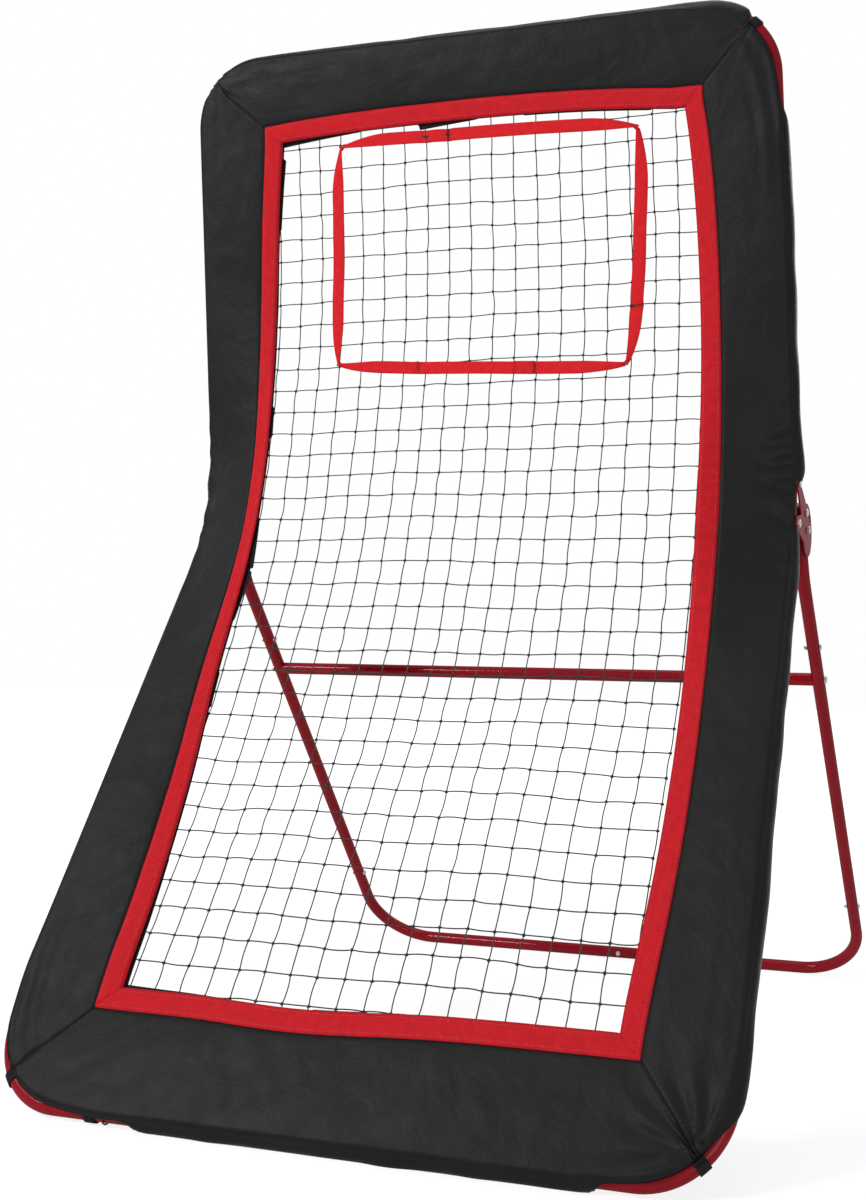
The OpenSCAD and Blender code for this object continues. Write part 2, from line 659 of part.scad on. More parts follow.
// Sweep of a section along the side. A section is drawn as (u, v): u inwards from the
// tube, v to the front. Its outer part follows the tube, its inner part the net
function blend(u) = max(0, min(1, u / (side_band - border_w)));
function swept(p, u, v) =
  let (t = lift(tube_at(p), v), n = lift(net_at(p), v), w = blend(u))
  [half_w - u, t[0] + (n[0] - t[0]) * w, t[1] + (n[1] - t[1]) * w];
net_path_from = net_from + bend_arc(net_r);
function place_of(s) =
  s < net_from ? s
  : s > net_path_from ? full_len - path_len(net_r) + s
  : net_from + (s - net_from) / (net_path_from - net_from) * (net_to - net_from);
knee_reach = 300;
function places_between(a, b) = [
  for (i = [0:2 * panels])
    let (p = place_of(net_path_low + (net_path_high - net_path_low) * i / panels / 2))
    if ((i % 2 == 0 || abs(p - lower_len) < knee_reach) && p > a + 2 && p < b - 2) p
];
module side_sweep(rings, caps) {
  m = len(rings);
  n = len(rings[0]);
  polyhedron(
    points = [for (ring = rings) for (q = ring) q],
    faces = concat(
      caps,
      [for (cap = caps) [for (i = [len(cap) - 1:-1:0]) (m - 1) * n + cap[i]]],
      [for (j = [0:m - 2]) for (i = [0:n - 1])
        [j * n + i, (j + 1) * n + i, (j + 1) * n + (i + 1) % n]],
      [for (j = [0:m - 2]) for (i = [0:n - 1])
        [j * n + i, (j + 1) * n + (i + 1) % n, j * n + (i + 1) % n]]
    )
  );
}
hole_w = 5.6;
module border_hole() { cube([hole_w, hole_w, 12], center = true); }
module net_border() {
  color([0.07, 0.07, 0.08]) difference() {
    sheet(border_low, border_high, -open_half - border_w, open_half + border_w, -border_t / 2, border_t / 2);
    sheet(net_low - 0.05, net_high + 0.05, -open_half - 0.05, open_half + 0.05, -border_t, border_t);
    for (p = side_loops) both()
      at(on_panels(along(net_r, p))) translate([half_w - loop_hole, 0, 0]) border_hole();
    for (x = end_loops) {
      at(net_at(bottom_loop_hole)) translate([x, 0, 0]) border_hole();
      at(net_at(full_len - top_loop_hole)) translate([x, 0, 0]) border_hole();
    }
  }
}

// An elastic loop round the tube and through the border, drawn in its own plane along +X
function arc_points(x, r, a0, a1, n) = [
  for (i = [0:n]) let (a = a0 + (a1 - a0) * i / n) [x + r * cos(a), r * sin(a)]
];
module loop_outline(r1, r2, d) {
  f = acos((r1 - r2) / d);
  polygon(concat(arc_points(0, r1, f, 360 - f, 10), arc_points(d, r2, -f, f, 6)));
}
module loop_ring(reach, loop_end_r) {
  d = reach - loop_end_r - loop_cord / 2;
  translate([0, 0, -loop_cord / 2]) linear_extrude(loop_cord) difference() {
    loop_outline(loop_out, loop_end_r + loop_cord, d);
    loop_outline(loop_in, loop_end_r, d);
  }
}
function unit(v) = v / norm(v);
module side_loop(p) {
  t = tube_at(p);
  from = [half_w, t[0], t[1]];
  n = on_panels(along(net_r, p));
  to = [half_w - loop_hole, n[0], n[1]];
  e1 = unit(to - from);
  e3 = unit(cross(e1, [0, -sin(t[2]), cos(t[2])]));
  e2 = cross(e3, e1);
  multmatrix([
    [e1[0], e2[0], e3[0], from[0]], [e1[1], e2[1], e3[1], from[1]],
    [e1[2], e2[2], e3[2], from[2]], [0, 0, 0, 1]
  ]) loop_ring(norm(to - from), side_loop_end);
}
module elastic_loops() {
  color([0.05, 0.05, 0.06]) {
    for (p = side_loops) both() side_loop(p);
    for (x = end_loops) {
      at(path(knee_r, 0)) translate([x, 0, 0]) rotate([90, 0, 90]) loop_ring(bottom_loop_hole, end_loop_end);
      at(path(knee_r, top_path)) translate([x, 0, 0]) rotate([90, 0, -90]) loop_ring(top_loop_hole, end_loop_end);
    }
  }
}

// Strike zone, a flat strap sewn into a rectangle on the front of the net
zone_v = strand / 2 + 0.1;
zone_high = full_len - zone_top;
zone_low = zone_high - zone_h;
module strike_zone_strap() {
  v1 = zone_v + zone_strap_t;
  in = zone_strap_w;
  color([0.86, 0.13, 0.15]) difference() {
    sheet(zone_low, zone_high, -zone_w / 2, zone_w / 2, zone_v, v1);
    sheet(zone_low + in, zone_high - in, in - zone_w / 2, zone_w / 2 - in, zone_v - 2, v1 + 2);
  }
}

// Padded cover. Its section is drawn as (u, v): u inwards from the tube, v to the front
slope_from = 10;
slope = (cover_front - trim_front) / (bottom_band - slope_from);
function pad_front(u) = cover_front - slope * (u - slope_from);
function pad_back(u) = pad_front(u) - pad_t;
function wrapped_section(u) = concat(
  [[u, pad_back(u)], [u, pad_front(u)], [slope_from, cover_front],
   [-8, cover_front - 1], [-13, cover_front - 6]],
  ring_points(wrap_out * vertex_r, wrap_from, 270),
  [[hem, -wrap_out], [hem, -wrap_in]],
  ring_points(wrap_in * vertex_r, 270, 130),
  [[-8, cover_front - pad_t], [slope_from, cover_front - pad_t]]
);
// The same outline with the wrap left off, beside the pivot plates
function bare_section(u) = concat(
  [[u, pad_back(u)], [u, pad_front(u)], [slope_from, cover_front],
   [-8, cover_front - 1], [-12.5, cover_front - 4.5]],
  [for (i = [1:16]) [-12.5 + 4.2 * i / 17, cover_front - 4.5 - (pad_t - 4.6) * i / 17]],
  [[-8, cover_front - pad_t], [slope_from, cover_front - pad_t]]
);

cover_black = [0.13, 0.13, 0.14];
trim_red = [0.84, 0.14, 0.16];
cover_low = bottom_band - trim_w;
cover_high = full_len - top_band + trim_w;
notch_half = 85;
notch_low = lower_len - notch_half;
notch_high = lower_len + notch_half;
cover_places = concat(
  [cover_low + 0.2], places_between(cover_low, notch_low), [notch_low, notch_low + 2],
  places_between(notch_low + 2, notch_high - 2), [notch_high - 2, notch_high],
  places_between(notch_high, cover_high), [cover_high - 0.2]
);
module side_cover() {
  u = side_band - trim_w;
  side_sweep([
    for (p = cover_places)
      [for (c = abs(p - lower_len) < notch_half - 1 ? bare_section(u) : wrapped_section(u))
        swept(p, c[0], c[1])]
  ], concat(
    [[0, 1, 2, 22], [2, 3, 21, 22], [3, 4, 20, 21], [4, 5, 20]],
    [for (i = [0:wrap_steps]) [5 + i, 6 + i, 19 - i, 20 - i]]
  ));
}
module cover_right() { color(cover_black) side_cover(); }
module cover_left() { color(cover_black) mirror([1, 0, 0]) side_cover(); }

// Flat end panels, drawn at the bottom tube with +Y towards the opening. Their outer
// corners follow the tube's bend, and the wrap covers the middle of the tube
corner_out = corner_r + 12;
end_places = concat(
  [for (a = [90:-15:0]) corner_r - half_w - corner_out * sin(a)],
  [-wrap_half - 2, -wrap_half, wrap_half, wrap_half + 2],
  [for (a = [0:15:90]) half_w - corner_r + corner_out * sin(a)]
);
function end_shift(x) =
  let (over = abs(x) - half_w + corner_r)
  over <= 0 ? 0 : corner_out - sqrt(max(0, corner_out * corner_out - over * over));
function end_front(x, u) = pad_front(max(slope_from, min(u, half_w - abs(x))));
function end_ring(x, u) =
  let (d = end_shift(x), s = abs(x) < wrap_half + 1 ? wrapped_section(u) : bare_section(u))
  concat(
    [[x, u, end_front(x, u) - pad_t], [x, u, end_front(x, u)]],
    [for (i = [2:len(s) - 1]) [x, s[i][0] + d, s[i][1]]]
  );
module end_cover(u) {
  side_sweep(
    [for (x = end_places) end_ring(x, u)],
    [[0, 1, 2, 22], [2, 3, 21, 22], [for (i = [3:21]) i]]
  );
}
module cover_bottom() { color(cover_black) at(path(knee_r, 0)) end_cover(cover_low); }
module cover_top() {
  color(cover_black) at(path(knee_r, top_path)) mirror([0, 1, 0]) end_cover(full_len - cover_high);
}

// Coloured trim round the opening, mitred at its corners
trim_t = 6;
function trim_section(band) =
  let (u = band - trim_w + 0.2, mid = band - border_w)
  [[band, pad_front(band) - trim_t], [band, pad_front(band) - 2], [band - 2, pad_front(band)],
   [mid, pad_front(mid)], [u, pad_front(u)], [u, pad_front(u) - trim_t],
   [mid, pad_front(mid) - trim_t]];
module side_trim() {
  s = trim_section(side_band);
  low = [for (c = s) swept(net_low - side_band + c[0], c[0], c[1])];
  high = [for (c = s) swept(net_high + side_band - c[0], c[0], c[1])];
  places = concat([net_low], places_between(net_low, net_high), [net_high]);
  rings = concat([low], [for (p = places) [for (c = s) swept(p, c[0], c[1])]], [high]);
  side_sweep(rings, [[0, 1, 2, 3, 6], [3, 4, 5, 6]]);
}
module end_trim(band) {
  in_half = open_half - 1.3;
  intersection() {
    rotate([90, 0, 90]) translate([0, 0, -half_w]) linear_extrude(frame_w) polygon(trim_section(band));
    translate([0, 0, -5]) linear_extrude(2 * cover_front) polygon([
      [-in_half, band + 1], [in_half, band + 1], [in_half + trim_w + 1, band - trim_w],
      [-in_half - trim_w - 1, band - trim_w]
    ]);
  }
}
module trim_right() { color(trim_red) side_trim(); }
module trim_left() { color(trim_red) mirror([1, 0, 0]) side_trim(); }
module trim_bottom() { color(trim_red) at(path(knee_r, 0)) end_trim(bottom_band); }
module trim_top() { color(trim_red) at(path(knee_r, top_path)) mirror([0, 1, 0]) end_trim(top_band); }

// Hook and loop straps that hold the cover to the bare tube
corner_slack = 0.45;
module strap_ring(neck_h, slack) {
  translate([0, 0, -strap_w / 2]) linear_extrude(strap_w) difference() {
    union() {
      circle(r = tube_r + strap_t + slack);
      translate([-6, 0]) square([12, neck_h]);
    }
    circle(r = tube_r + 0.1 + slack);
  }
}
module end_straps() {
  both() {
    translate([strap_x, 0, 0]) rotate([90, 0, 90]) strap_ring(cover_front - pad_t - 0.1, 0);
    translate([half_w - corner_r, corner_r, 0]) rotate([0, 0, -45]) translate([corner_r, 0, 0])
      rotate([90, 0, 0]) strap_ring(tube_r, corner_slack);
  }
}
module cover_straps() {
  color([0.06, 0.06, 0.07]) {
    at(path(knee_r, 0)) end_straps();
    at(path(knee_r, top_path)) mirror([0, 1, 0]) end_straps();
  }
}

stand() lower_corner_left();
stand() lower_corner_right();
stand() lower_side_left();
stand() lower_side_right();
stand() knee_tube_left();
stand() knee_tube_right();
stand() upper_corner_left();
stand() upper_corner_right();
stand() frame_snap_buttons();
stand() plate_outer_left();
stand() plate_inner_left();
stand() plate_outer_right();
stand() plate_inner_right();
stand() plate_bolts();
stand() plate_nuts();
stand() pivot_bolts();
stand() pivot_nuts();
stand() leg_upper_left();
stand() leg_upper_right();
stand() leg_side_left();
stand() leg_side_right();
stand() leg_corner_left();
stand() leg_corner_right();
stand() leg_crossbar();
stand() pivot_bushes();
stand() leg_joint_bolts();
stand() leg_joint_nuts();
stand() crossbar_bolts();
stand() leg_end_caps();
stand() clamp_bolts();
stand() clamp_knob_left();
stand() clamp_knob_right();
stand() net();
stand() net_border();
stand() elastic_loops();
stand() strike_zone_strap();
stand() cover_left();
stand() cover_right();
stand() cover_bottom();
stand() cover_top();
stand() trim_left();
stand() trim_right();
stand() trim_bottom();
stand() trim_top();
stand() cover_straps();
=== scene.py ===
import json
import math
import random

import bpy
import numpy as np
from mathutils import Matrix, Vector, noise


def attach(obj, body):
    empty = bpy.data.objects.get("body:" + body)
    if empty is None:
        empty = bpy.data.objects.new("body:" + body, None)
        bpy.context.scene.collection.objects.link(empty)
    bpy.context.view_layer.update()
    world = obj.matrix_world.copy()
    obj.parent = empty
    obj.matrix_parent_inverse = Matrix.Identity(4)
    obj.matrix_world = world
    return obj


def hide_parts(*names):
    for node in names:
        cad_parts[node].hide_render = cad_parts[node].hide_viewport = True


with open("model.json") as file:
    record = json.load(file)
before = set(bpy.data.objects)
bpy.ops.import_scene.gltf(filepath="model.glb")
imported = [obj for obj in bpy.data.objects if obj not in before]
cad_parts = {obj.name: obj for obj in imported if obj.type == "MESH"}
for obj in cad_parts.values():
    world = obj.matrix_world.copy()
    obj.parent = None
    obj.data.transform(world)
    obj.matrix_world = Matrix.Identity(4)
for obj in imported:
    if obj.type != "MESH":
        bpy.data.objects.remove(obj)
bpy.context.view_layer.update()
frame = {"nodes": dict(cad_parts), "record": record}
rng = random.Random(7)

# ---------------------------------------------------------------- the frame's own shape
LOW, FULL = 1.172, 2.110                        # along the tubes, to the knee and to the top
A1, A2 = math.radians(57), math.radians(98.5)   # slope below and above the knee
BEND = A2 - A1
KNEE_R, NET_R = 0.4, 1.5                        # bend of the tubes and of the net
SIDE, CORNER_R = 0.6, 0.127                     # half width and corner of the tubes' line
SIDE_BAND, BOTTOM_BAND, TOP_BAND, TRIM_W = 0.175, 0.197, 0.177, 0.038
FRAME_Z = 0.017455                              # height of the bottom tube's line
PIVOT_Y = 0.709263                              # the leg's pivot, behind the bottom tube's line
MID_Y = PIVOT_Y - frame["record"]["behaviour"]["joints"][0]["pos_m"][1]
NET_FROM = LOW - NET_R * math.tan(BEND / 2)
NET_TO = LOW + NET_R * math.tan(BEND / 2)


def path_len(r):
    """Length of the line from bottom to top when its knee is bent to radius r."""
    return FULL - 2 * r * math.tan(BEND / 2) + r * BEND


def path(r, s):
    """Place (y, z) and slope at length s along the line whose knee is bent to radius r."""
    start = LOW - r * math.tan(BEND / 2)
    if s < start:
        return s * math.cos(A1), FRAME_Z + s * math.sin(A1), A1
    cy = start * math.cos(A1) - r * math.sin(A1)
    cz = FRAME_Z + start * math.sin(A1) + r * math.cos(A1)
    a = min(A1 + (s - start) / r, A2)
    rest = max(0.0, s - start - r * BEND)
    return (cy + r * math.sin(a) + rest * math.cos(a),
            cz - r * math.cos(a) + rest * math.sin(a), a)


def along(r, p):
    """Length along the bent line for p along the sharp outline."""
    if p < NET_FROM:
        return p
    if p > NET_TO:
        return path_len(r) - (FULL - p)
    share = (p - NET_FROM) / (NET_TO - NET_FROM)
    return NET_FROM + share * (path_len(r) - NET_FROM - FULL + NET_TO)


def place(x, p, v):
    """A point x across, p along the sharp outline and v in front of the surface."""
    t, n = path(KNEE_R, along(KNEE_R, p)), path(NET_R, along(NET_R, p))
    w = max(0.0, min(1.0, (SIDE - abs(x)) / 0.15))
    ty, tz = t[0] - v * math.sin(t[2]), t[1] + v * math.cos(t[2])
    ny, nz = n[0] - v * math.sin(n[2]), n[1] + v * math.cos(n[2])
    return Vector((x, ty + (ny - ty) * w - MID_Y, tz + (nz - tz) * w))


def smooth(t):
    t = max(0.0, min(1.0, t))
    return t * t * (3 - 2 * t)


def wave(x, y, z=0.0):
    return noise.noise(Vector((x, y, z)))


# ---------------------------------------------------------------- mesh helpers
def build(name, verts, faces, material, uv, body="frame"):
    me = bpy.data.meshes.new(name)
    me.from_pydata([tuple(v) for v in verts], [], faces)
    me.validate()
    layer = me.uv_layers.new(name="cloth")
    for loop in me.loops:
        layer.data[loop.index].uv = uv[loop.vertex_index]
    ob = bpy.data.objects.new(name, me)
    bpy.context.collection.objects.link(ob)
    me.materials.append(material)
    me.polygons.foreach_set("use_smooth", [True] * len(me.polygons))
    if body:
        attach(ob, body)
    return ob


# Outline of a strap's section: share of its width and side of its middle
STRAP_EDGE = ((0, 0), (0.05, 1), (0.35, 1), (0.65, 1), (0.95, 1), (1, 0),
              (0.95, -1), (0.65, -1), (0.35, -1), (0.05, -1))


class Parts:
    """Several small closed shapes gathered into one mesh."""

    def __init__(self):
        self.v, self.f, self.uv = [], [], []

    def add(self, verts, faces, uv):
        n = len(self.v)
        self.v += [tuple(q) for q in verts]
        self.f += [tuple(i + n for i in face) for face in faces]
        self.uv += uv

    def tube(self, pts, r, sides, closed=False):
        """A round cord of radius r through the points."""
        pts = [Vector(q) for q in pts]
        n = len(pts)
        side = None
        rings, uvs, run = [], [], 0.0
        for i, q in enumerate(pts):
            a = pts[(i - 1) % n] if closed or i > 0 else pts[i]
            b = pts[(i + 1) % n] if closed or i < n - 1 else pts[i]
            d = (b - a).normalized()
            if side is None:
                side = d.cross(Vector((0.31, 0.2, 0.93)))
                if side.length < 1e-6:
                    side = d.cross(Vector((1, 0, 0)))
            side = (side - d * side.dot(d)).normalized()
            top = side.cross(d)
            if i:
                run += (q - pts[i - 1]).length
            for k in range(sides):
                t = 2 * math.pi * k / sides
                rings.append(q + side * (r * math.cos(t)) + top * (r * math.sin(t)))
                uvs.append((k / sides, run))
        faces = []
        for i in range(n if closed else n - 1):
            j = (i + 1) % n
            for k in range(sides):
                m = (k + 1) % sides
                faces.append((i * sides + k, i * sides + m, j * sides + m, j * sides + k))
        if not closed:
            faces.append(tuple(range(sides))[::-1])
            faces.append(tuple((n - 1) * sides + k for k in range(sides)))
        self.add(rings, faces, uvs)

    def strip(self, left, right, normals, thick):
        """A flat strap between two edge lines, with rounded edges."""
        verts, faces, uvs, n, run = [], [], [], len(left), 0.0
        for i in range(n):
            a, b, m = Vector(left[i]), Vector(right[i]), Vector(normals[i]).normalized()
            d = b - a
            if i:
                run += (a - Vector(left[i - 1])).length
            for t, h in STRAP_EDGE:
                verts.append(a + d * t + m * (h * thick / 2))
                uvs.append((t * d.length, run))
        c = len(STRAP_EDGE)
        for i in range(n - 1):
            for k in range(c):
                m = (k + 1) % c
                faces.append((i * c + k, i * c + m, (i + 1) * c + m, (i + 1) * c + k))
        faces.append(tuple(range(c))[::-1])
        faces.append(tuple((n - 1) * c + k for k in range(c)))
        self.add(verts, faces, uvs)

    def make(self, name, material):
        return build(name, self.v, self.f, material, self.uv)


# ---------------------------------------------------------------- materials
def new_material(name):
    m = bpy.data.materials.new(name)
    m.use_nodes = True
    t = m.node_tree
    t.nodes.clear()
    out = t.nodes.new("ShaderNodeOutputMaterial")
    b = t.nodes.new("ShaderNodeBsdfPrincipled")
    t.links.new(b.outputs[0], out.inputs[0])
    return m, t, b


def node(t, kind, **values):
    n = t.nodes.new(kind)
    for k, v in values.items():
        if k in n.inputs.keys():
            n.inputs[k].default_value = v
        else:
            setattr(n, k, v)
    return n


def coordinates(t, kind="Object", scale=(1, 1, 1)):
    c = t.nodes.new("ShaderNodeTexCoord")
    m = t.nodes.new("ShaderNodeMapping")
    m.inputs["Scale"].default_value = scale
    t.links.new(c.outputs[kind], m.inputs["Vector"])
    return m.outputs[0]


def ramp(t, source, stops):
    r = t.nodes.new("ShaderNodeValToRGB")
    marks = r.color_ramp.elements
    marks[0].position, marks[0].color = stops[0]
    marks[1].position, marks[1].color = stops[-1]
    for at, colour in stops[1:-1]:
        marks.new(at).color = colour
    t.links.new(source, r.inputs[0])
    return r.outputs[0]


def shade(c, k):
    return (min(1, c[0] * k), min(1, c[1] * k), min(1, c[2] * k), 1)


def grey(k):
    return (k, k, k, 1)


def maths(t, op, a, b=None, v=0.5):
    n = node(t, "ShaderNodeMath", operation=op)
    t.links.new(a, n.inputs[0])
    if b is not None:
        t.links.new(b, n.inputs[1])
    else:
        n.inputs[1].default_value = v
    return n.outputs[0]


def seen_rays(t):
    """1 for what the camera, a reflection or a clear piece sees, 0 for light on things."""
    lp = t.nodes.new("ShaderNodeLightPath")
    both = maths(t, "MAXIMUM", lp.outputs["Is Camera Ray"], lp.outputs["Is Glossy Ray"])
    return maths(t, "MAXIMUM", both, lp.outputs["Is Transmission Ray"])


def bump(t, b, heights):
    """heights are (socket, strength, distance), laid one over the other."""
    last = None
    for socket, strength, distance in heights:
        n = node(t, "ShaderNodeBump", Strength=strength, Distance=distance)
        t.links.new(socket, n.inputs["Height"])
        if last is not None:
            t.links.new(last, n.inputs["Normal"])
        last = n.outputs[0]
    t.links.new(last, b.inputs["Normal"])


def powder_coat(name, colour):
    m, t, b = new_material(name)
    at = coordinates(t)
    wide = node(t, "ShaderNodeTexNoise", Scale=9.0, Detail=4.0)
    fine = node(t, "ShaderNodeTexNoise", Scale=900.0, Detail=2.0)
    marks = node(t, "ShaderNodeTexNoise", Scale=60.0, Detail=6.0, Roughness=0.7)
    for n in (wide, fine, marks):
        t.links.new(at, n.inputs["Vector"])
    base = ramp(t, wide.outputs[0], [(0.3, shade(colour, 0.92)), (0.7, shade(colour, 1.07))])
    worn = ramp(t, marks.outputs[0], [(0.66, grey(0)), (0.78, grey(1))])
    mix = node(t, "ShaderNodeMix", data_type="RGBA")
    t.links.new(maths(t, "MULTIPLY", worn, v=0.12), mix.inputs["Factor"])
    t.links.new(base, mix.inputs[6])
    mix.inputs[7].default_value = shade(colour, 0.55)
    t.links.new(mix.outputs[2], b.inputs["Base Color"])
    t.links.new(ramp(t, marks.outputs[0], [(0.3, grey(0.15)), (0.8, grey(0.22))]),
                b.inputs["Roughness"])
    b.inputs["Specular IOR Level"].default_value = 0.0
    b.inputs["Coat Weight"].default_value = 0.20
    b.inputs["Coat Roughness"].default_value = 0.10
    bump(t, b, [(fine.outputs[0], 0.03, 0.0003), (wide.outputs[0], 0.02, 0.002)])
    return m


def zinc(name):
    m, t, b = new_material(name)
    at = coordinates(t)
    spangle = node(t, "ShaderNodeTexVoronoi", Scale=240.0)
    stain = node(t, "ShaderNodeTexNoise", Scale=70.0, Detail=6.0)
    for n in (spangle, stain):
        t.links.new(at, n.inputs["Vector"])
    tone = ramp(t, stain.outputs[0], [(0.3, (0.30, 0.30, 0.31, 1)), (0.5, (0.42, 0.42, 0.43, 1)),
                                      (0.75, (0.52, 0.51, 0.49, 1))])
    t.links.new(tone, b.inputs["Base Color"])
    b.inputs["Metallic"].default_value = 0.9
    t.links.new(ramp(t, spangle.outputs[0], [(0, grey(0.26)), (1, grey(0.48))]),
                b.inputs["Roughness"])
    bump(t, b, [(stain.outputs[0], 0.12, 0.0004), (spangle.outputs[0], 0.05, 0.0003)])
    return m


def plastic(name, colour):
    m, t, b = new_material(name)
    at = coordinates(t)
    grain = node(t, "ShaderNodeTexNoise", Scale=700.0, Detail=3.0)
    wide = node(t, "ShaderNodeTexNoise", Scale=25.0, Detail=3.0)
    for n in (grain, wide):
        t.links.new(at, n.inputs["Vector"])
    t.links.new(ramp(t, wide.outputs[0], [(0.3, shade(colour, 0.8)), (0.7, shade(colour, 1.3))]),
                b.inputs["Base Color"])
    b.inputs["Roughness"].default_value = 0.5
    bump(t, b, [(grain.outputs[0], 0.25, 0.0004)])
    return m


def oxford(name, colour):
    """Coated plain-weave cloth: a fine thread grid, soft colour change and dull gloss."""
    m, t, b = new_material(name)
    at = coordinates(t, "UV")
    one, two = (node(t, "ShaderNodeTexWave", Scale=330.0, Distortion=0.6, Detail=1.0,
                     bands_direction=way) for way in "XY")
    crease = node(t, "ShaderNodeTexNoise", Scale=26.0, Detail=7.0, Roughness=0.62, Distortion=0.5)
    wide = node(t, "ShaderNodeTexNoise", Scale=5.0, Detail=3.0)
    for n in (one, two, crease, wide):
        t.links.new(at, n.inputs["Vector"])
    grid = maths(t, "MULTIPLY", one.outputs[1], two.outputs[1])
    tone = ramp(t, wide.outputs[0], [(0.3, shade(colour, 0.8)), (0.7, shade(colour, 1.25))])
    mix = node(t, "ShaderNodeMix", data_type="RGBA")
    t.links.new(maths(t, "MULTIPLY", grid, v=0.4), mix.inputs["Factor"])
    t.links.new(tone, mix.inputs[6])
    mix.inputs[7].default_value = shade(colour, 1.6)
    t.links.new(mix.outputs[2], b.inputs["Base Color"])
    t.links.new(ramp(t, crease.outputs[0], [(0.3, grey(0.36)), (0.7, grey(0.50))]),
                b.inputs["Roughness"])
    b.inputs["Specular IOR Level"].default_value = 0.08
    bump(t, b, [(grid, 0.25, 0.0003), (crease.outputs[0], 0.45, 0.005)])
    return m


WAVE_SCALE = 0.314                              # scale of a wave texture that repeats every metre


def ribbed(name, colour, pitch, rough=0.62):
    """Woven tape: ribs across its width, threads along it."""
    m, t, b = new_material(name)
    at = coordinates(t, "UV")
    k = WAVE_SCALE / pitch
    rib = node(t, "ShaderNodeTexWave", Scale=k, Distortion=0.35, Detail=1.0, bands_direction="Y")
    thread = node(t, "ShaderNodeTexWave", Scale=k * 2.2, Distortion=0.5, Detail=1.0,
                  bands_direction="X")
    fuzz = node(t, "ShaderNodeTexNoise", Scale=60.0, Detail=5.0, Roughness=0.6)
    for n in (rib, thread, fuzz):
        t.links.new(at, n.inputs["Vector"])
    weave = maths(t, "MULTIPLY", rib.outputs[1], thread.outputs[1])
    tone = ramp(t, fuzz.outputs[0], [(0.3, shade(colour, 0.78)), (0.7, shade(colour, 1.08))])
    mix = node(t, "ShaderNodeMix", data_type="RGBA")
    t.links.new(maths(t, "MULTIPLY", weave, v=0.75), mix.inputs["Factor"])
    t.links.new(tone, mix.inputs[6])
    mix.inputs[7].default_value = shade(colour, 1.45)
    t.links.new(mix.outputs[2], b.inputs["Base Color"])
    b.inputs["Roughness"].default_value = rough
    b.inputs["Specular IOR Level"].default_value = 0.07
    bump(t, b, [(rib.outputs[1], 0.5, 0.0006), (thread.outputs[1], 0.25, 0.0003),
                (fuzz.outputs[0], 0.2, 0.002)])
    return m


def twine(name, colour, pitch=0.004):
    """Laid strands: a slanted wave round and along the cord."""
    m, t, b = new_material(name)
    at = coordinates(t, "UV", scale=(1.0, 1.0 / pitch / 6.0, 1.0))
    lay = node(t, "ShaderNodeTexWave", Scale=1.9, Distortion=0.2, bands_direction="DIAGONAL")
    fuzz = node(t, "ShaderNodeTexNoise", Scale=300.0, Detail=3.0)
    t.links.new(at, lay.inputs["Vector"])
    t.links.new(coordinates(t), fuzz.inputs["Vector"])
    t.links.new(ramp(t, lay.outputs[1], [(0.1, shade(colour, 0.6)), (0.9, shade(colour, 1.5))]),
                b.inputs["Base Color"])
    b.inputs["Roughness"].default_value = 0.7
    bump(t, b, [(lay.outputs[1], 0.6, 0.0006), (fuzz.outputs[0], 0.3, 0.0003)])
    return m


M_PAINT = powder_coat("red_powder_coat", (0.235, 0.0042, 0.011))
M_ZINC = zinc("zinc_plate")
M_PLASTIC = plastic("black_plastic", (0.018, 0.018, 0.02))
M_COVER = oxford("black_oxford", (0.0088, 0.0088, 0.0092))
M_TRIM = ribbed("red_tape", (0.47, 0.011, 0.017), 0.0026)
M_ZONE = ribbed("red_webbing", (0.56, 0.013, 0.018), 0.0020)
M_BORDER = ribbed("black_webbing", (0.010, 0.010, 0.011), 0.0022)
M_HOOK = ribbed("hook_tape", (0.014, 0.014, 0.015), 0.0015, 0.85)
M_NET = twine("net_twine", (0.011, 0.011, 0.012))
M_ELASTIC = twine("elastic_braid", (0.014, 0.014, 0.015), 0.003)
M_THREAD = twine("dark_thread", (0.03, 0.03, 0.03), 0.001)
M_TRIM_THREAD = twine("red_thread", (0.60, 0.075, 0.085), 0.001)
M_EYELET = zinc("eyelet_metal")

by_slot = {"frame_paint": M_PAINT, "zinc_plate": M_ZINC, "black_plastic": M_PLASTIC,
           "net_cord": M_NET, "border_webbing": M_BORDER, "elastic_cord": M_ELASTIC,
           "zone_webbing": M_ZONE, "cover_fabric": M_COVER, "trim_fabric": M_TRIM,
           "hook_loop": M_HOOK}
slots = {s["node"]: s["material_slot"] for s in frame["record"]["subparts"]}
for name, ob in frame["nodes"].items():
    ob.data.materials.clear()
    ob.data.materials.append(by_slot[slots[name]])


# ---------------------------------------------------------------- cover and trim outlines
def opening(by):
    """The opening's edges, moved outwards by a width."""
    return {"bottom": BOTTOM_BAND - by, "top": FULL - TOP_BAND + by, "side": SIDE - SIDE_BAND + by}


BORDER_W = 0.026
TRIM_IN, COVER_IN, BORDER_OUT = opening(0), opening(TRIM_W), opening(BORDER_W)
FRONT, TRIM_FRONT = 0.025, 0.011                # the pad's front at the tube and at the trim
SLOPE_FROM = 0.010
SLOPE = (FRONT - TRIM_FRONT) / (BOTTOM_BAND - SLOPE_FROM)


def front_at(u):
    """How far the pad stands in front of the tubes' plane, u in from the tube's line."""
    return FRONT - SLOPE * (max(u, SLOPE_FROM) - SLOPE_FROM)


def bell(x, at, width):
    """1 at a place, falling off on both sides."""
    return math.exp(-((x - at) / width) ** 2)


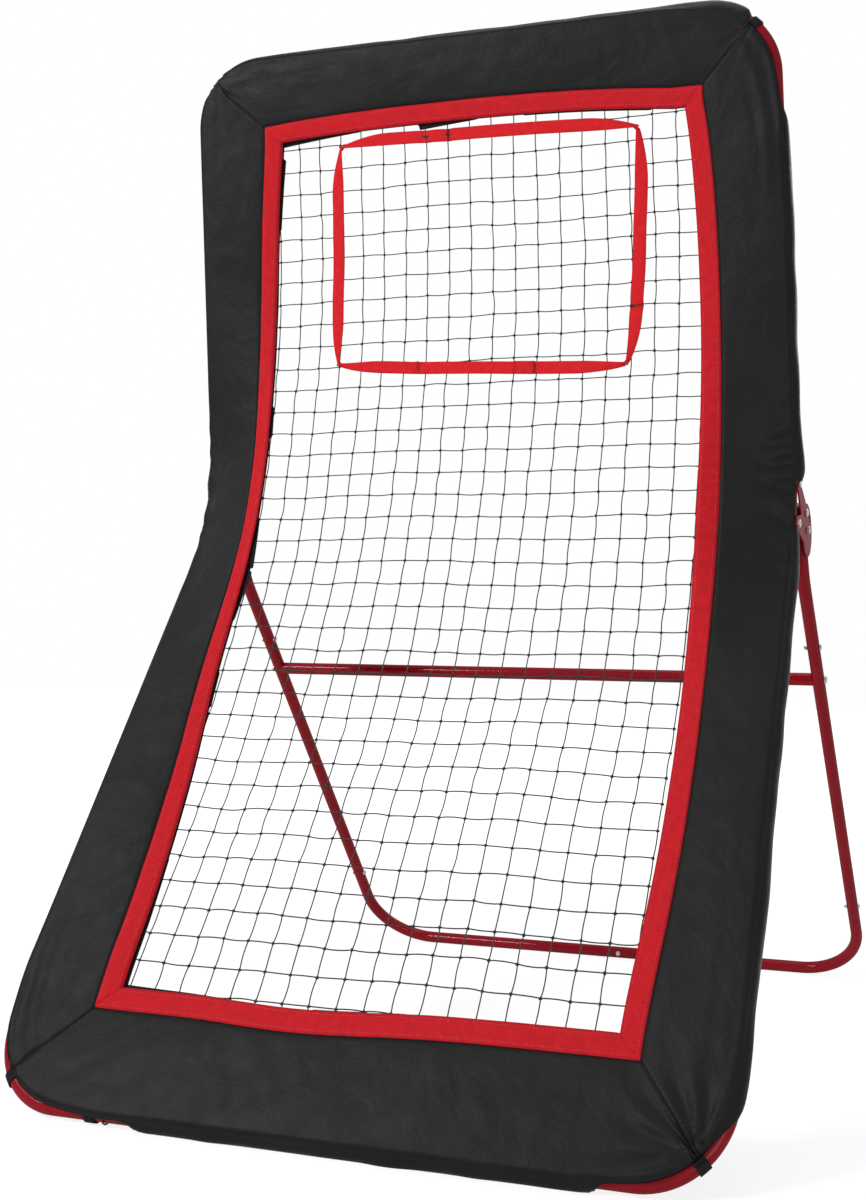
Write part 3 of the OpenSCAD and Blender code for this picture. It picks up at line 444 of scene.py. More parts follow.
def warp(x, p):
    """Moves a point with the loops' pull: the opening's sides bow outwards between its corners."""
    a = abs(x)
    fade = smooth((a - 0.30) / 0.12) * smooth((SIDE - a) / 0.11)
    above = max(0.0, 1.945 - p)
    if x > 0:
        below = max(0.0, p - 0.15)
        dx = 0.0215 * (1 - math.exp(-(below / 0.24) ** 2)) * (1 - math.exp(-above / 0.14))
    else:
        out = 0.0245 * (1 - math.exp(-(above / 0.17) ** 1.5)) * smooth((p - 0.28) / 0.50)
        out += 0.0135 * bell(p, 0.84, 0.19) - 0.007 * bell(p, 0.13, 0.07)
        dx = -out * (1 - 0.26 * smooth((a - 0.434) / 0.04))
    top = 0.0205 * max(0.0, 1 - (abs(x + 0.07) / 0.47) ** 2.5) * smooth((p - 1.74) / 0.14)
    low = 0.0125 * bell(x, -0.10, 0.18) + 0.006 * bell(x, -0.42, 0.15)
    low *= smooth((0.36 - p) / 0.14) * smooth(p / 0.10)
    return x + dx * fade, p + top * smooth((FULL - p) / 0.11) - low


AROUND, UPRIGHT = ("bottom", "right", "top", "left"), ("left", "right")
ACROSS_LEN, UP_LEN = 2 * (SIDE - CORNER_R), FULL - 2 * CORNER_R
STRAIGHT = {"bottom": ACROSS_LEN, "right": UP_LEN, "top": ACROSS_LEN, "left": UP_LEN}
HALF_ARC = CORNER_R * math.pi / 4
CUT = CORNER_R * (1 - math.cos(math.radians(45)))   # from the sharp corner in to the round one
BY_MITRE = (0.0012, 0.0026, 0.0050)             # extra rows beside each mitre


def from_mitre(side, l):
    """Distance along the tube's line to the nearer mitre."""
    return min(l, STRAIGHT[side] + 2 * HALF_ARC - l)


def from_tube(side, x, p):
    """Distance inwards from the tube's line."""
    if side in UPRIGHT:
        return SIDE - abs(x)
    return p if side == "bottom" else FULL - p


def outer_point(side, l):
    """Point of the tube's line and the inward direction, l along one side from mitre to mitre."""
    n = STRAIGHT[side]
    half = n / 2
    if l < HALF_ARC:
        a, c = -135 + math.degrees(l / CORNER_R), -half
    elif l > HALF_ARC + n:
        a, c = -90 + math.degrees((l - HALF_ARC - n) / CORNER_R), half
    else:
        a, c = -90, l - HALF_ARC - half
    ca, sa = math.cos(math.radians(a)), math.sin(math.radians(a))
    x, y = c + CORNER_R * ca, CORNER_R + CORNER_R * sa          # in the side's own frame
    nx, ny = -ca, -sa
    if side == "bottom":
        return (x, y), (nx, ny)
    if side == "top":
        return (-x, FULL - y), (-nx, -ny)
    if side == "right":
        return (SIDE - y, FULL / 2 + x), (-ny, nx)
    return (-SIDE + y, FULL / 2 - x), (ny, -nx)


def stations(step):
    """Rows round the frame: side, length from its first mitre, share of the side."""
    rows = []
    for side in AROUND:
        total = STRAIGHT[side] + 2 * HALF_ARC
        n = int(round(total / step))
        even = [total * i / n for i in range(n)]
        for l in sorted(even + list(BY_MITRE) + [total - e for e in BY_MITRE]):
            rows.append((side, l, l / total))
    return rows


def inner_point(side, share, edges):
    """Point of an outline round the opening, at a share of one side."""
    b, t, s = edges["bottom"], edges["top"], edges["side"]
    a, b = {"bottom": ((-s, b), (s, b)), "right": ((s, b), (s, t)),
            "top": ((s, t), (-s, t)), "left": ((-s, t), (-s, b))}[side]
    return a[0] + (b[0] - a[0]) * share, a[1] + (b[1] - a[1]) * share


def corner_of(side, share):
    """Name of the nearer corner."""
    ends = {"bottom": ("bl", "br"), "right": ("br", "tr"),
            "top": ("tr", "tl"), "left": ("tl", "bl")}
    return ends[side][0 if share < 0.5 else 1]


# Where the cover goes round the tube: distance from the mitre at which it starts, and its run-up
WRAP_FROM = {("bottom", "bl"): (0.235, 0.05), ("bottom", "br"): (0.135, 0.045),
             ("right", "br"): (0.02, 0.12), ("right", "tr"): (0.15, 0.10),
             ("top", "tr"): (0.0, 0.03), ("left", "bl"): (0.17, 0.10)}


def wrap_share(side, l, share):
    """How far round the tube the cover goes: 1 to the hem behind it, 0 only over its front."""
    d = from_mitre(side, l)
    corner = corner_of(side, share)
    if corner == "tl":
        return 0.75 + 0.25 * smooth((d - 0.12) / 0.08)
    start, over = WRAP_FROM[side, corner]
    return smooth((d - start) / over)


def edge_in(side, l, share):
    """How far the cover's outer edge is drawn in from its usual line, at the open corners."""
    peak = {"tr": 0.015, "br": 0.012, "bl": 0.015, "tl": 0.0}[corner_of(side, share)]
    return peak * (1 - smooth((from_mitre(side, l) - 0.03) / 0.17))


def knee_notch(side, p):
    """1 where the cover is open for the knee's plates, from the bend to below the lower arm."""
    if side not in UPRIGHT:
        return 0.0
    return smooth(1.35 - abs(p - LOW) / (0.050 if p > LOW else 0.085))


ACROSS, ROUND = 21, 11                          # points over the pad and round the tube
STEP = 0.0085
PAD_EDGE, EDGE_FRONT = 0.009, 0.0245            # the pad's outer edge: outside the tube, in front
PAD_T, CLOTH_T = 0.006, 0.0012
WRAP_R = 0.0182                                 # of the cloth round the tube
ROUND_FROM, ROUND_TO = 128, 270                 # its degrees, from the pad's edge to the hem
CORNERS = {"bl": (-1, 0), "br": (1, 0), "tr": (1, 1), "tl": (-1, 1)}
PUCKER = {"bl": 0.0022, "br": 0.0075, "tr": 0.0030, "tl": 0.0030}
SLACK = {("left", "bl"): 0.0030, ("right", "tr"): 0.0038, ("top", "tr"): 0.0014}


def folds(side, l, share, x, p, t):
    """Height of the folds: gathers at a corner's strap, slack along the edge and by the plates."""
    corner = corner_of(side, share)
    sx, top = CORNERS[corner]
    dx, dp = x - sx * (SIDE - CUT), p - (FULL - CUT if top else CUT)
    r, a = math.hypot(dx, dp), math.atan2(dp, dx)
    reach = 0.095 if corner == "br" else 0.055
    h = PUCKER[corner] * bell(r, 0, reach) * math.sin(13 * a + 3.0 * wave(x * 6, p * 6, 3.3))
    slack = SLACK.get((side, corner), 0.0008) * bell(from_mitre(side, l), 0.12, 0.13)
    h += slack * smooth(t * 2.2 - 1.0) * math.sin(26 * t + 2.5 * wave(l * 5, t, 6.1))
    if side in UPRIGHT:
        size = (0.0062 if side == "right" else 0.0026) * bell(p, LOW + 0.03, 0.16)
        turn = l * 95 + 5.0 * wave(l * 9, t * 2, 8.8) + 3 * t
        h += size * smooth(t * 1.7 - 0.6) * math.sin(turn)
    small = 0.0009 * wave(x * 34 + 3.0 * wave(p * 7, x * 7, 1.0), p * 21, 12.0)
    return h + small * smooth(4 * t * (1 - t) * 1.6)


def over_floor(q, low):
    """The point, lifted to a height above the floor if it is lower."""
    return Vector((q.x, q.y, max(q.z, low)))


def cover_ring(side, l, share):
    """One section of the cover, outside and inside: over the pad, round the tube and to the hem."""
    (cx, cp), (nx, np_) = outer_point(side, l)
    ix, ip = inner_point(side, share, COVER_IN)
    inner_front = front_at(from_tube(side, ix, ip))
    w = wrap_share(side, l, share) * (1 - knee_notch(side, cp))
    drawn = edge_in(side, l, share)
    mitre = bell(from_mitre(side, l), 0, 0.0022)
    front, back = [], []
    ox, op = cx - nx * (PAD_EDGE - drawn), cp - np_ * (PAD_EDGE - drawn)
    for k in range(ACROSS):
        t = k / (ACROSS - 1)
        x, p = ix + (ox - ix) * t, ip + (op - ip) * t
        plain = inner_front * (1 - t) + EDGE_FRONT * t
        middle = 4 * t * (1 - t)
        soft = 0.0022 * wave(x * 7, p * 7, 1.3) + 0.0013 * wave(x * 19, p * 19, 4.1)
        puffed = 0.0035 * middle ** 0.7 + soft * middle ** 0.5 + folds(side, l, share, x, p, t)
        v = plain + puffed * (1 - 0.35 * mitre) - 0.0008 * mitre
        x, p = warp(x, p)
        front.append(place(x, p, v))
        back.append(place(x, p, max(plain - PAD_T, 0.0)))
    # Round the tube: from the front edge over the outside to the hem behind
    depth, seed = 0.0, ord(side[0])
    if side in UPRIGHT:
        depth = 0.006 + (0.026 if cp > LOW else 0.010) * smooth(abs(cp - LOW) / 0.35 - 0.3)
        depth *= smooth((from_mitre(side, l) - 0.15) / 0.15)
    turn = (ROUND_TO - ROUND_FROM) * max(w, 0.02)
    for k in range(ROUND):
        t = k / (ROUND - 1)
        a = math.radians(ROUND_FROM + turn * t)
        r = WRAP_R + 0.0013 * wave(l * 14, t * 3, 7.7 + seed) * w
        if side in UPRIGHT:                     # over the plate's upper arm and its bolt
            r += 0.0036 * w * bell(cp, LOW + 0.062, 0.040)
        u, v = r * math.cos(a), r * math.sin(a)
        v -= depth * w * smooth(t * 1.3 - 0.2)
        u += drawn * (1 - w)
        u -= 0.003 * w * math.sin(math.pi * t) * (1 + wave(l * 11, 3.3, seed))
        front.append(place(cx + nx * u, cp + np_ * u, v))
        u2 = u * (1 - CLOTH_T / r) if w > 0.3 else u + CLOTH_T
        v2 = v + (CLOTH_T if v < 0 else -CLOTH_T * w)
        back.append(place(cx + nx * u2, cp + np_ * u2, v2))
    # Hem
    a = math.radians(ROUND_FROM + turn)
    base_u, base_v = WRAP_R * math.cos(a), WRAP_R * math.sin(a) - depth * w
    hem = 0.026 + 0.004 * wave(l * 17, 9.1, seed)
    for k in range(1, 4):
        u = base_u + hem * k / 3 * w + drawn * (1 - w)
        front.append(place(cx + nx * u, cp + np_ * u, base_v - 0.0004 * k * w))
        back.append(place(cx + nx * u, cp + np_ * u, base_v + CLOTH_T))
    return [over_floor(q, 0.0002) for q in front], [over_floor(q, 0.0014) for q in back]


def closed_ring_mesh(rows):
    """Rows of (front points, back points) round a closed loop, joined into one shell."""
    n = len(rows[0][0])
    verts, faces, uvs, run = [], [], [], 0.0
    for j, (front, back) in enumerate(rows):
        if j:
            run += (front[0] - rows[j - 1][0][0]).length
        wide = 0.0
        for i, q in enumerate(front):
            if i:
                wide += (q - front[i - 1]).length
            verts.append(q)
            uvs.append((wide, run))
        for i in range(n - 1, -1, -1):
            verts.append(back[i])
            uvs.append((wide + (n - i) * 0.008, run))
    c, m = 2 * n, len(rows)
    for j in range(m):
        b = (j + 1) % m
        for i in range(c):
            k = (i + 1) % c
            faces.append((j * c + i, j * c + k, b * c + k, b * c + i))
    return verts, faces, uvs, c


cover_stations = stations(STEP)
verts, faces, uvs, ring_n = closed_ring_mesh([cover_ring(*s) for s in cover_stations])
cover = build("cover", verts, faces, M_COVER, uvs, None)


def inflate(ob, free, frames=14, cap=0.006, pressure=1.2, slack=-0.035):
    """Runs the cloth with some spare material between its pinned seams, and caps its moves."""
    me = ob.data
    start = np.array([v.co for v in me.vertices], float)
    group = ob.vertex_groups.new(name="pin")
    for i in range(len(me.vertices)):
        weight = 1.0 - free[i]
        if weight > 0:
            group.add([i], weight, "REPLACE")
    mod = ob.modifiers.new("cloth", "CLOTH")
    s = mod.settings
    s.quality, s.mass = 4, 0.2
    s.tension_stiffness = s.compression_stiffness = 12
    s.shear_stiffness, s.bending_stiffness = 6, 0.4
    s.vertex_group_mass = "pin"
    s.use_pressure, s.uniform_pressure_force = True, pressure
    s.shrink_min = slack
    s.effector_weights.gravity = 0
    mod.collision_settings.use_collision = False
    mod.collision_settings.use_self_collision = False
    mod.point_cache.frame_start, mod.point_cache.frame_end = 1, frames
    scene = bpy.context.scene
    for f in range(1, frames + 1):
        scene.frame_set(f)
    got = ob.evaluated_get(bpy.context.evaluated_depsgraph_get()).to_mesh()
    end = np.array([v.co for v in got.vertices], float)
    ob.modifiers.remove(mod)
    ob.vertex_groups.clear()
    scene.frame_set(1)
    move = end - start
    size = np.linalg.norm(move, axis=1, keepdims=True)
    move *= np.minimum(1.0, cap / np.maximum(size, 1e-9))
    me.vertices.foreach_set("co", (start + move).astype(np.float32).ravel())
    me.update()


free = np.zeros(len(verts))                 # 0 where the cloth is pinned
for j, (side, l, share) in enumerate(cover_stations):
    for i in range(1, ACROSS + 4):
        edge = min(1.0, i / 2.0) * min(1.0, (ACROSS + 4 - i) / 3.0)
        free[j * ring_n + i] = 0.95 * edge * smooth(from_mitre(side, l) / 0.02)
inflate(cover, free)
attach(cover, "frame")
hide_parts("cover_left", "cover_right", "cover_bottom", "cover_top")


# ---------------------------------------------------------------- trim and stitches
TRIM_POINTS = 9


def trim_ring(side, l, share):
    """One section of the trim, with turned edges and a crown, outside and inside."""
    ax, ap = inner_point(side, share, COVER_IN)
    bx, bp = inner_point(side, share, TRIM_IN)
    mitre = bell(from_mitre(side, l), 0, 0.0035)
    if side in UPRIGHT:
        bx += 0.0018 * wave(bp * 3.1, bx * 3.3, 2.0)
    outer_front = front_at(from_tube(side, ax, ap))
    front, back = [], []
    for k in range(TRIM_POINTS):
        t = k / (TRIM_POINTS - 1)
        turned = k in (0, TRIM_POINTS - 1)
        x, p = ax + (bx - ax) * (t * 1.03 - 0.03), ap + (bp - ap) * (t * 1.03 - 0.03)
        v = outer_front * (1 - t) + TRIM_FRONT * t + 0.0006
        v += 0.0016 * (4 * t * (1 - t)) ** 0.6 + 0.0007 * wave(x * 23, p * 23, 5.5)
        v -= 0.0012 * mitre + (0.0016 if turned else 0.0)
        x, p = warp(x, p)
        front.append(place(x, p, v))
        back.append(place(x, p, v - (0.0030 if turned else 0.0052)))
    return front[::-1], back[::-1]


trim_stations = stations(0.014)
trim_rows = [trim_ring(*s) for s in trim_stations]
tv, tf, tu, _ = closed_ring_mesh(trim_rows)
trim = build("trim", tv, tf, M_TRIM, tu)
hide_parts("trim_left", "trim_right", "trim_bottom", "trim_top")


STITCH_LIFT = Vector((0, -0.9, 0.3)) * 0.0004


def stitch_line(parts, points, pitch=0.0065, length=0.0040, r=0.00042):
    """Stitches of a length at a pitch along a line, each raised in its middle."""
    walk, total = [Vector(points[0])], [0.0]
    for q in points[1:]:
        q = Vector(q)
        total.append(total[-1] + (q - walk[-1]).length)
        walk.append(q)
    n, i = int(total[-1] / pitch), 0
    for s in range(n):
        a, b = s * pitch, s * pitch + length
        out = []
        for d in (a, (a + b) / 2, b):
            while i < len(total) - 2 and total[i + 1] < d:
                i += 1
            w = (d - total[i]) / max(1e-9, total[i + 1] - total[i])
            out.append(walk[i].lerp(walk[i + 1], min(1.0, w)))
        parts.tube([out[0], out[1] + STITCH_LIFT, out[2]], r, 4)


# Two rows along the trim
stitches = Parts()
for k, mix in ((1, 0.3), (6, 0.7)):
    for side in AROUND:
        stitch_line(stitches, [r[0][k].lerp(r[0][k + 1], mix)
                               for r, s in zip(trim_rows, trim_stations) if s[0] == side])
trim_stitches = stitches.make("trim_stitches", M_TRIM_THREAD)

# One row on each side of the cover's mitres
seams = Parts()
final = [v.co.copy() for v in cover.data.vertices]
for j, (side, l, share) in enumerate(cover_stations):
    if l == 0.0:
        for shift in (-4, 4):
            row = (j + shift) % len(cover_stations)
            stitch_line(seams, [final[row * ring_n + i] for i in range(1, ACROSS + 1)],
                        0.008, 0.005, 0.0004)
cover_seams = seams.make("cover_seams", M_THREAD)


# ---------------------------------------------------------------- net border with eyelets
# Stretches where the webbing shows past the trim: from, to, and how far it shows at each end
SHOWN = {"top": [(-0.434, -0.25, 0.0095, 0.001), (-0.123, 0.005, 0.0115, 0.001),
                 (0.10, 0.36, 0.0015, 0.002)],
         "left": [(0.20, 0.42, 0.0030, 0.001), (0.72, 0.80, 0.003, 0.003),
                  (0.91, 1.02, 0.002, 0.012), (1.02, 1.13, 0.012, 0.003),
                  (1.31, 1.38, 0.005, 0.003), (1.76, 1.90, 0.003, 0.006)],
         "bottom": [(-0.436, -0.24, 0.007, 0.002), (-0.08, 0.02, 0.003, 0.003)],
         "right": [(1.12, 1.22, 0.004, 0.003)]}


def border_extra(x, p, side):
    """How far the webbing shows past the trim's inner edge."""
    at = p if side in UPRIGHT else x
    out = 0.0004
    for a, b, near, far in SHOWN[side]:
        t = max(0.0, min(1.0, (at - a) / (b - a)))
        out += (near + (far - near) * t) * smooth((at - a) / 0.004) * smooth((b - at) / 0.004)
    return out


def border_ring(side, _, share):
    """One section of the webbing, front and back."""
    ax, ap = inner_point(side, share, BORDER_OUT)
    bx, bp = inner_point(side, share, TRIM_IN)
    e = border_extra(bx, bp, side)
    bx += {"left": 1, "right": -1}.get(side, 0) * e
    bp += {"bottom": 1, "top": -1}.get(side, 0) * e
    front, back = [], []
    for k in range(6):
        t = k / 5
        x, p = ax + (bx - ax) * t, ap + (bp - ap) * t
        v = 0.0014 * wave(x * 9, p * 9, 3.0) + (0.0022 if t == 1 else 0.0)
        h = 0.0009 if k in (0, 5) else 0.0012
        x, p = warp(x, p)
        front.append(place(x, p, v + h))
        back.append(place(x, p, v - h))
    return front[::-1], back[::-1]


bv, bf, bu, _ = closed_ring_mesh([border_ring(*s) for s in stations(0.004)])
border = build("net_border_webbing", bv, bf, M_BORDER, bu)
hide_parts("net_border")


# ---------------------------------------------------------------- elastic loops
elastic, eyelets = Parts(), Parts()
ROUND_TUBE, ROUND_EYELET = 0.0145, 0.0036       # the cord's bend at the tube and in the eyelet


def loop_round(centre, out_dir, normal, reach, phase):
    """A cord loop round the tube (at centre) and through an eyelet at reach along out_dir."""
    e1, e3 = out_dir.normalized(), normal.normalized()
    side = e1.cross(e3)
    d = reach - ROUND_EYELET

    def bend(at, r, degrees):
        a = math.radians(degrees)
        return centre + e1 * (at + r * math.cos(a)) + e3 * (r * math.sin(a))

    def leg(i, sign, turns):
        t = i / 8
        high = ROUND_TUBE + (ROUND_EYELET - ROUND_TUBE) * t
        sway = side * 0.002 * math.sin(t * turns + phase)
        return centre + e1 * (d * t) + e3 * (high * sign) + sway

    pts = [bend(0, ROUND_TUBE, 95 + 170 * i / 13) for i in range(14)]
    pts += [leg(i, -1, 7) for i in range(1, 8)]
    pts += [bend(d, ROUND_EYELET, -90 + 180 * i / 6) for i in range(7)]
    pts += [leg(i, 1, 6) for i in range(7, 0, -1)]
    elastic.tube(pts, 0.00145, 7, closed=True)
    # The knot that closes the loop, behind the tube
    k0 = centre + e1 * 0.030 - e3 * 0.0125
    knot = []
    for i in range(20):
        a = 2 * math.pi * i / 20
        knot.append(k0 + e1 * (0.0030 * math.sin(a) + 0.0026 * math.sin(2 * a))
                    + side * (0.0032 * math.cos(a) - 0.0022 * math.cos(2 * a))
                    + e3 * (0.0016 * math.sin(3 * a)))
    elastic.tube(knot, 0.00135, 6, closed=True)


def eyelet(centre, normal):
    """Two rims, in front of the webbing and behind it."""
    n, a = normal.normalized(), Vector((1, 0, 0))
    b = n.cross(a)
    for h in (0.0014, -0.0014):
        pts = [centre + (a * math.cos(t) + b * math.sin(t)) * 0.0042 + n * h
               for t in [2 * math.pi * i / 16 for i in range(16)]]
        eyelets.tube(pts, 0.0010, 6, closed=True)


def surface_normal(x, p):
    """Direction out of the front of the net's surface."""
    return (place(x, p, 0.01) - place(x, p, 0.0)).normalized()


SIDE_PITCH, END_PITCH = 0.146, 0.150            # from loop to loop
EYELET_X = SIDE - 0.1545                        # the sides' eyelets, out from the middle
EYELET_OUT = 0.017                              # the others, out from the opening's edge
for p in ([LOW - SIDE_PITCH * (i + 0.5) for i in range(7)]
          + [LOW + SIDE_PITCH * (i + 0.5) for i in range(5)]):
    for s in (-1, 1):
        c, h = place(s * SIDE, p, 0), place(*warp(s * EYELET_X, p), 0)
        n, way = surface_normal(s * SIDE, p), (h - c).normalized()
        loop_round(c, way, n - way * n.dot(way), (h - c).length, p * 9)
        eyelet(h, surface_normal(s * EYELET_X, p))
for i in range(6):
    x = (i - 2.5) * END_PITCH
    for p, at in ((0.0, BOTTOM_BAND - EYELET_OUT), (FULL, FULL - TOP_BAND + EYELET_OUT)):
        c, h = place(x, p, 0), place(*warp(x, at), 0)
        n = surface_normal(x * 0.5, p)
        loop_round(c, h - c, n, (h - c).length, x * 9)
        eyelet(h, n)
loops = elastic.make("elastic_cord_loops", M_ELASTIC)
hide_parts("elastic_loops")
rings = eyelets.make("border_eyelets", M_EYELET)

# ---------------------------------------------------------------- knotted net
PITCH_X, PITCH_S = 0.047, 0.0469
COLS, ROWS = range(-10, 12), range(-31, 9)


def looseness(x, s):
    """1 inside the net, falling to 0 at the border that holds it."""
    return (min(1.0, max(0.0, (0.46 - abs(x)) / 0.10))
            * min(1.0, max(0.0, min(s - 0.15, 1.96 - s) / 0.12)))


def net_wave(x, s):
    return 0.0060 * wave(x * 3.0, s * 2.6, 23.0) + 0.0020 * wave(x * 13, s * 12, 2.0)


def net_lift(x, s):
    """How far the net stands in front of its plain surface."""
    return net_wave(x, s) * looseness(x, s)


def net_point(c, r):
    """The knot of column c and row r: x, length along the outline and height."""
    s = 1.600 + PITCH_S * r
    x = -0.0745 + (s - 1.05) / 0.9 * 0.0125 + PITCH_X * c
    loose = looseness(x, s)
    x += (0.0055 * wave(x * 4.2, s * 3.1, 11.0) + 0.0022 * wave(x * 17, s * 15, 5.0)) * loose
    s2 = s + (0.0060 * wave(x * 3.6, s * 3.4, 17.0) + 0.0022 * wave(x * 16, s * 18, 9.0)) * loose
    return x, s2, net_wave(x, s) * loose


twines, knots = Parts(), Parts()
grid = {(c, r): net_point(c, r) for c in COLS for r in ROWS}
NET_X, NET_LOW, NET_HIGH = 0.437, BOTTOM_BAND - 0.010, FULL - TOP_BAND + 0.010


def within(g, spare=0.0):
    """Whether a point of the net lies inside the border's outline, as the loops pull it."""
    x0, x1 = warp(-NET_X, g[1])[0], warp(NET_X, g[1])[0]
    p0, p1 = warp(g[0], NET_LOW)[1], warp(g[0], NET_HIGH)[1]
    return x0 + spare <= g[0] <= x1 - spare and p0 + spare <= g[1] <= p1 - spare


def clipped(g, h):
    """The end of a strand at the border, found by halving."""
    a, b = 0.0, 1.0
    for _ in range(14):
        t = (a + b) / 2
        if within([g[i] + (h[i] - g[i]) * t for i in range(3)]):
            a = t
        else:
            b = t
    return tuple(g[i] + (h[i] - g[i]) * a for i in range(3))


def strand(g, h, seed):
    """A piece of twine between two knots, slightly bowed."""
    mine = random.Random(seed)
    bow = [mine.uniform(-0.0016, 0.0016) for _ in range(2)]
    dx, ds = h[0] - g[0], h[1] - g[1]
    n = math.hypot(dx, ds) or 1
    pts = []
    for i in range(5):
        t = i / 4
        k = 4 * t * (1 - t)
        pts.append(place(g[0] + dx * t - ds / n * bow[0] * k, g[1] + ds * t + dx / n * bow[0] * k,
                         g[2] + (h[2] - g[2]) * t + bow[1] * k))
    twines.tube(pts, 0.00112, 5)


for (c, r), g in grid.items():
    for other in ((c + 1, r), (c, r + 1)):
        if other not in grid:
            continue
        h = grid[other]
        if not within(g) and not within(h):
            continue
        a, b = (g, h) if within(g) else (h, g)
        strand(a, b if within(b) else clipped(a, b), c * 100 + r + (7 if other[0] == c else 0))
    if within(g, 0.004):
        q, n = place(*g), surface_normal(g[0], g[1])
        a = Vector((1, 0, 0))
        b = n.cross(a).normalized()
        turn = rng.uniform(0, 6.28)
        pts = []
        for i in range(14):
            t = 2 * math.pi * i / 14
            u = 0.0019 * math.cos(t) + 0.0008 * math.cos(2 * t + turn)
            w = 0.0019 * math.sin(t) - 0.0008 * math.sin(2 * t)
            pts.append(q + a * u + b * w + n * (0.0010 * math.sin(3 * t + turn)))
        knots.tube(pts, 0.00105, 5, closed=True)
net = twines.make("net_strands", M_NET)
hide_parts("net")
net_knots = knots.make("net_knots", M_NET)


# ---------------------------------------------------------------- strike zone strap
# The strap lies mostly in front of the net's strands and is folded at each corner
ZONE_W, FOLD_W = 0.0255, 0.0070                 # its width, and the width of a fold
ZONE_T, ZONE_FRONT = 0.0013, 0.0029
TL, TR, BR, BL = (-0.292, 1.920), (0.328, 1.904), (0.299, 1.440), (-0.301, 1.466)


def zone_side(a, b, width, seed, inset):
    """One side between two inner corners: its outer edge rounds in at the ends."""
    n, left, right, normals = 56, [], [], []
    dx, dp = b[0] - a[0], b[1] - a[1]
    ln = math.hypot(dx, dp)
    ux, up_ = -dp / ln, dx / ln                 # outwards, as the corners run clockwise
    for i in range(n + 1):
        t = i / n
        end = min(t, 1 - t) * ln
        w = FOLD_W + (width - FOLD_W) * math.sqrt(smooth(end / 0.10))
        off = 0.0020 * 4 * t * (1 - t) + 0.0014 * wave(t * 5, seed * 3.7)
        off -= inset * smooth(end / 0.09)
        x, p = a[0] + dx * t + ux * off, a[1] + dp * t + up_ * off
        roll = 0.0022 * (1 - smooth(end / 0.07)) + 0.0009 * wave(t * 7, seed * 5.1)
        over = 0.0                              # 1 where a strand passes in front of the strap
        if seed == 1:
            over = max(bell(x, grid[c, 7][0], 0.008) for c in (-1, 0))
        elif seed == 2:
            over = bell(p, grid[8, -1][1], 0.008)
        v = net_lift(x, p) + ZONE_FRONT - 0.0060 * over
        left.append(place(x, p, v + roll))
        right.append(place(x + ux * w, p + up_ * w, v - roll))
        normals.append(surface_normal(x, p))
    zone.strip(left, right, normals, ZONE_T)


zone = Parts()
zone_side(TL, TR, ZONE_W, 1, 0.001)
zone_side(TR, BR, ZONE_W + 0.001, 2, 0.002)
zone_side(BR, BL, ZONE_W + 0.001, 3, 0.005)
zone_side(BL, TL, ZONE_W, 4, 0.003)
for (x, p), turn in ((TL, 135), (TR, 45), (BR, -45), (BL, -135)):
    c, d = math.cos(math.radians(turn)), math.sin(math.radians(turn))
    v, n = net_lift(x, p) + 0.0036, surface_normal(x, p)
    left, right = [], []
    for i in range(5):
        r = -0.003 + 0.0026 * i
        w = 0.0052 - 0.0006 * i
        left.append(place(x + c * r - d * w, p + d * r + c * w, v + 0.0006 * i))
        right.append(place(x + c * r + d * w, p + d * r - c * w, v))
    zone.strip(left, right, [n] * 5, 0.0014)
zone_strap = zone.make("strike_zone_webbing", M_ZONE)
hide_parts("strike_zone_strap")


def lower_edge(x):
    """Height of the lower strap's inner edge."""
    straight = BL[1] + (BR[1] - BL[1]) * (x - BL[0]) / (BR[0] - BL[0])
    return straight + 0.0050 - 0.0020 * (1 - ((x - 0.0015) / 0.2985) ** 2)


# The lapped joint in the lower strap, with its stitched ends
lap = Parts()
for x0, x1, lift in ((-0.1315, -0.1285, 0.0014), (0.072, 0.116, 0.0018)):
    left, right, normals = [], [], []
    for i in range(7):
        x = x0 + (x1 - x0) * i / 6
        p = lower_edge(x)
        v = net_lift(x, p) + ZONE_FRONT + lift
        left.append(place(x, p + 0.0006, v))
        right.append(place(x, p - ZONE_W - 0.0006, v))
        normals.append(surface_normal(x, p))
    lap.strip(left, right, normals, ZONE_T)
zone_lap = lap.make("strike_zone_lap", M_ZONE)
tacks = Parts()
for x in (-0.1335, -0.1265, 0.0735, 0.0765, 0.112):
    p = lower_edge(x)
    v = net_lift(x, p) + 0.0054
    stitch_line(tacks, [place(x, p - ZONE_W * i / 6, v) for i in range(7)], 0.003, 0.0022, 0.00045)
zone_tacks = tacks.make("strike_zone_stitches", M_THREAD)


# ---------------------------------------------------------------- hook and loop straps
bands = Parts()
BAND_W, BAND_T = 0.0200, 0.0014


def band(centre, axis, up, phase, loose=0.0):
    """A tape wound round the tube with a lapped end, and a tab up to the cover."""
    ax, e3 = axis.normalized(), up.normalized()
    e1 = ax.cross(e3).normalized()
    left, right, normals = [], [], []
    n = 34
    for i in range(n + 1):
        a = phase + 2 * math.pi * 1.16 * i / n
        r = 0.0134 + 0.0019 * (i / n) + loose * (0.5 + 0.5 * math.sin(a * 2))
        d = e1 * math.cos(a) + e3 * math.sin(a)
        q = centre + d * r
        left.append(q - ax * BAND_W / 2)
        right.append(q + ax * BAND_W / 2)
        normals.append(d)
    bands.strip(left, right, normals, BAND_T)
    tab = [centre + e3 * (0.0128 + 0.0075 * i / 4) + e1 * 0.004 for i in range(5)]
    bands.strip([q - ax * BAND_W / 2 for q in tab], [q + ax * BAND_W / 2 for q in tab],
                [e1] * 5, BAND_T)


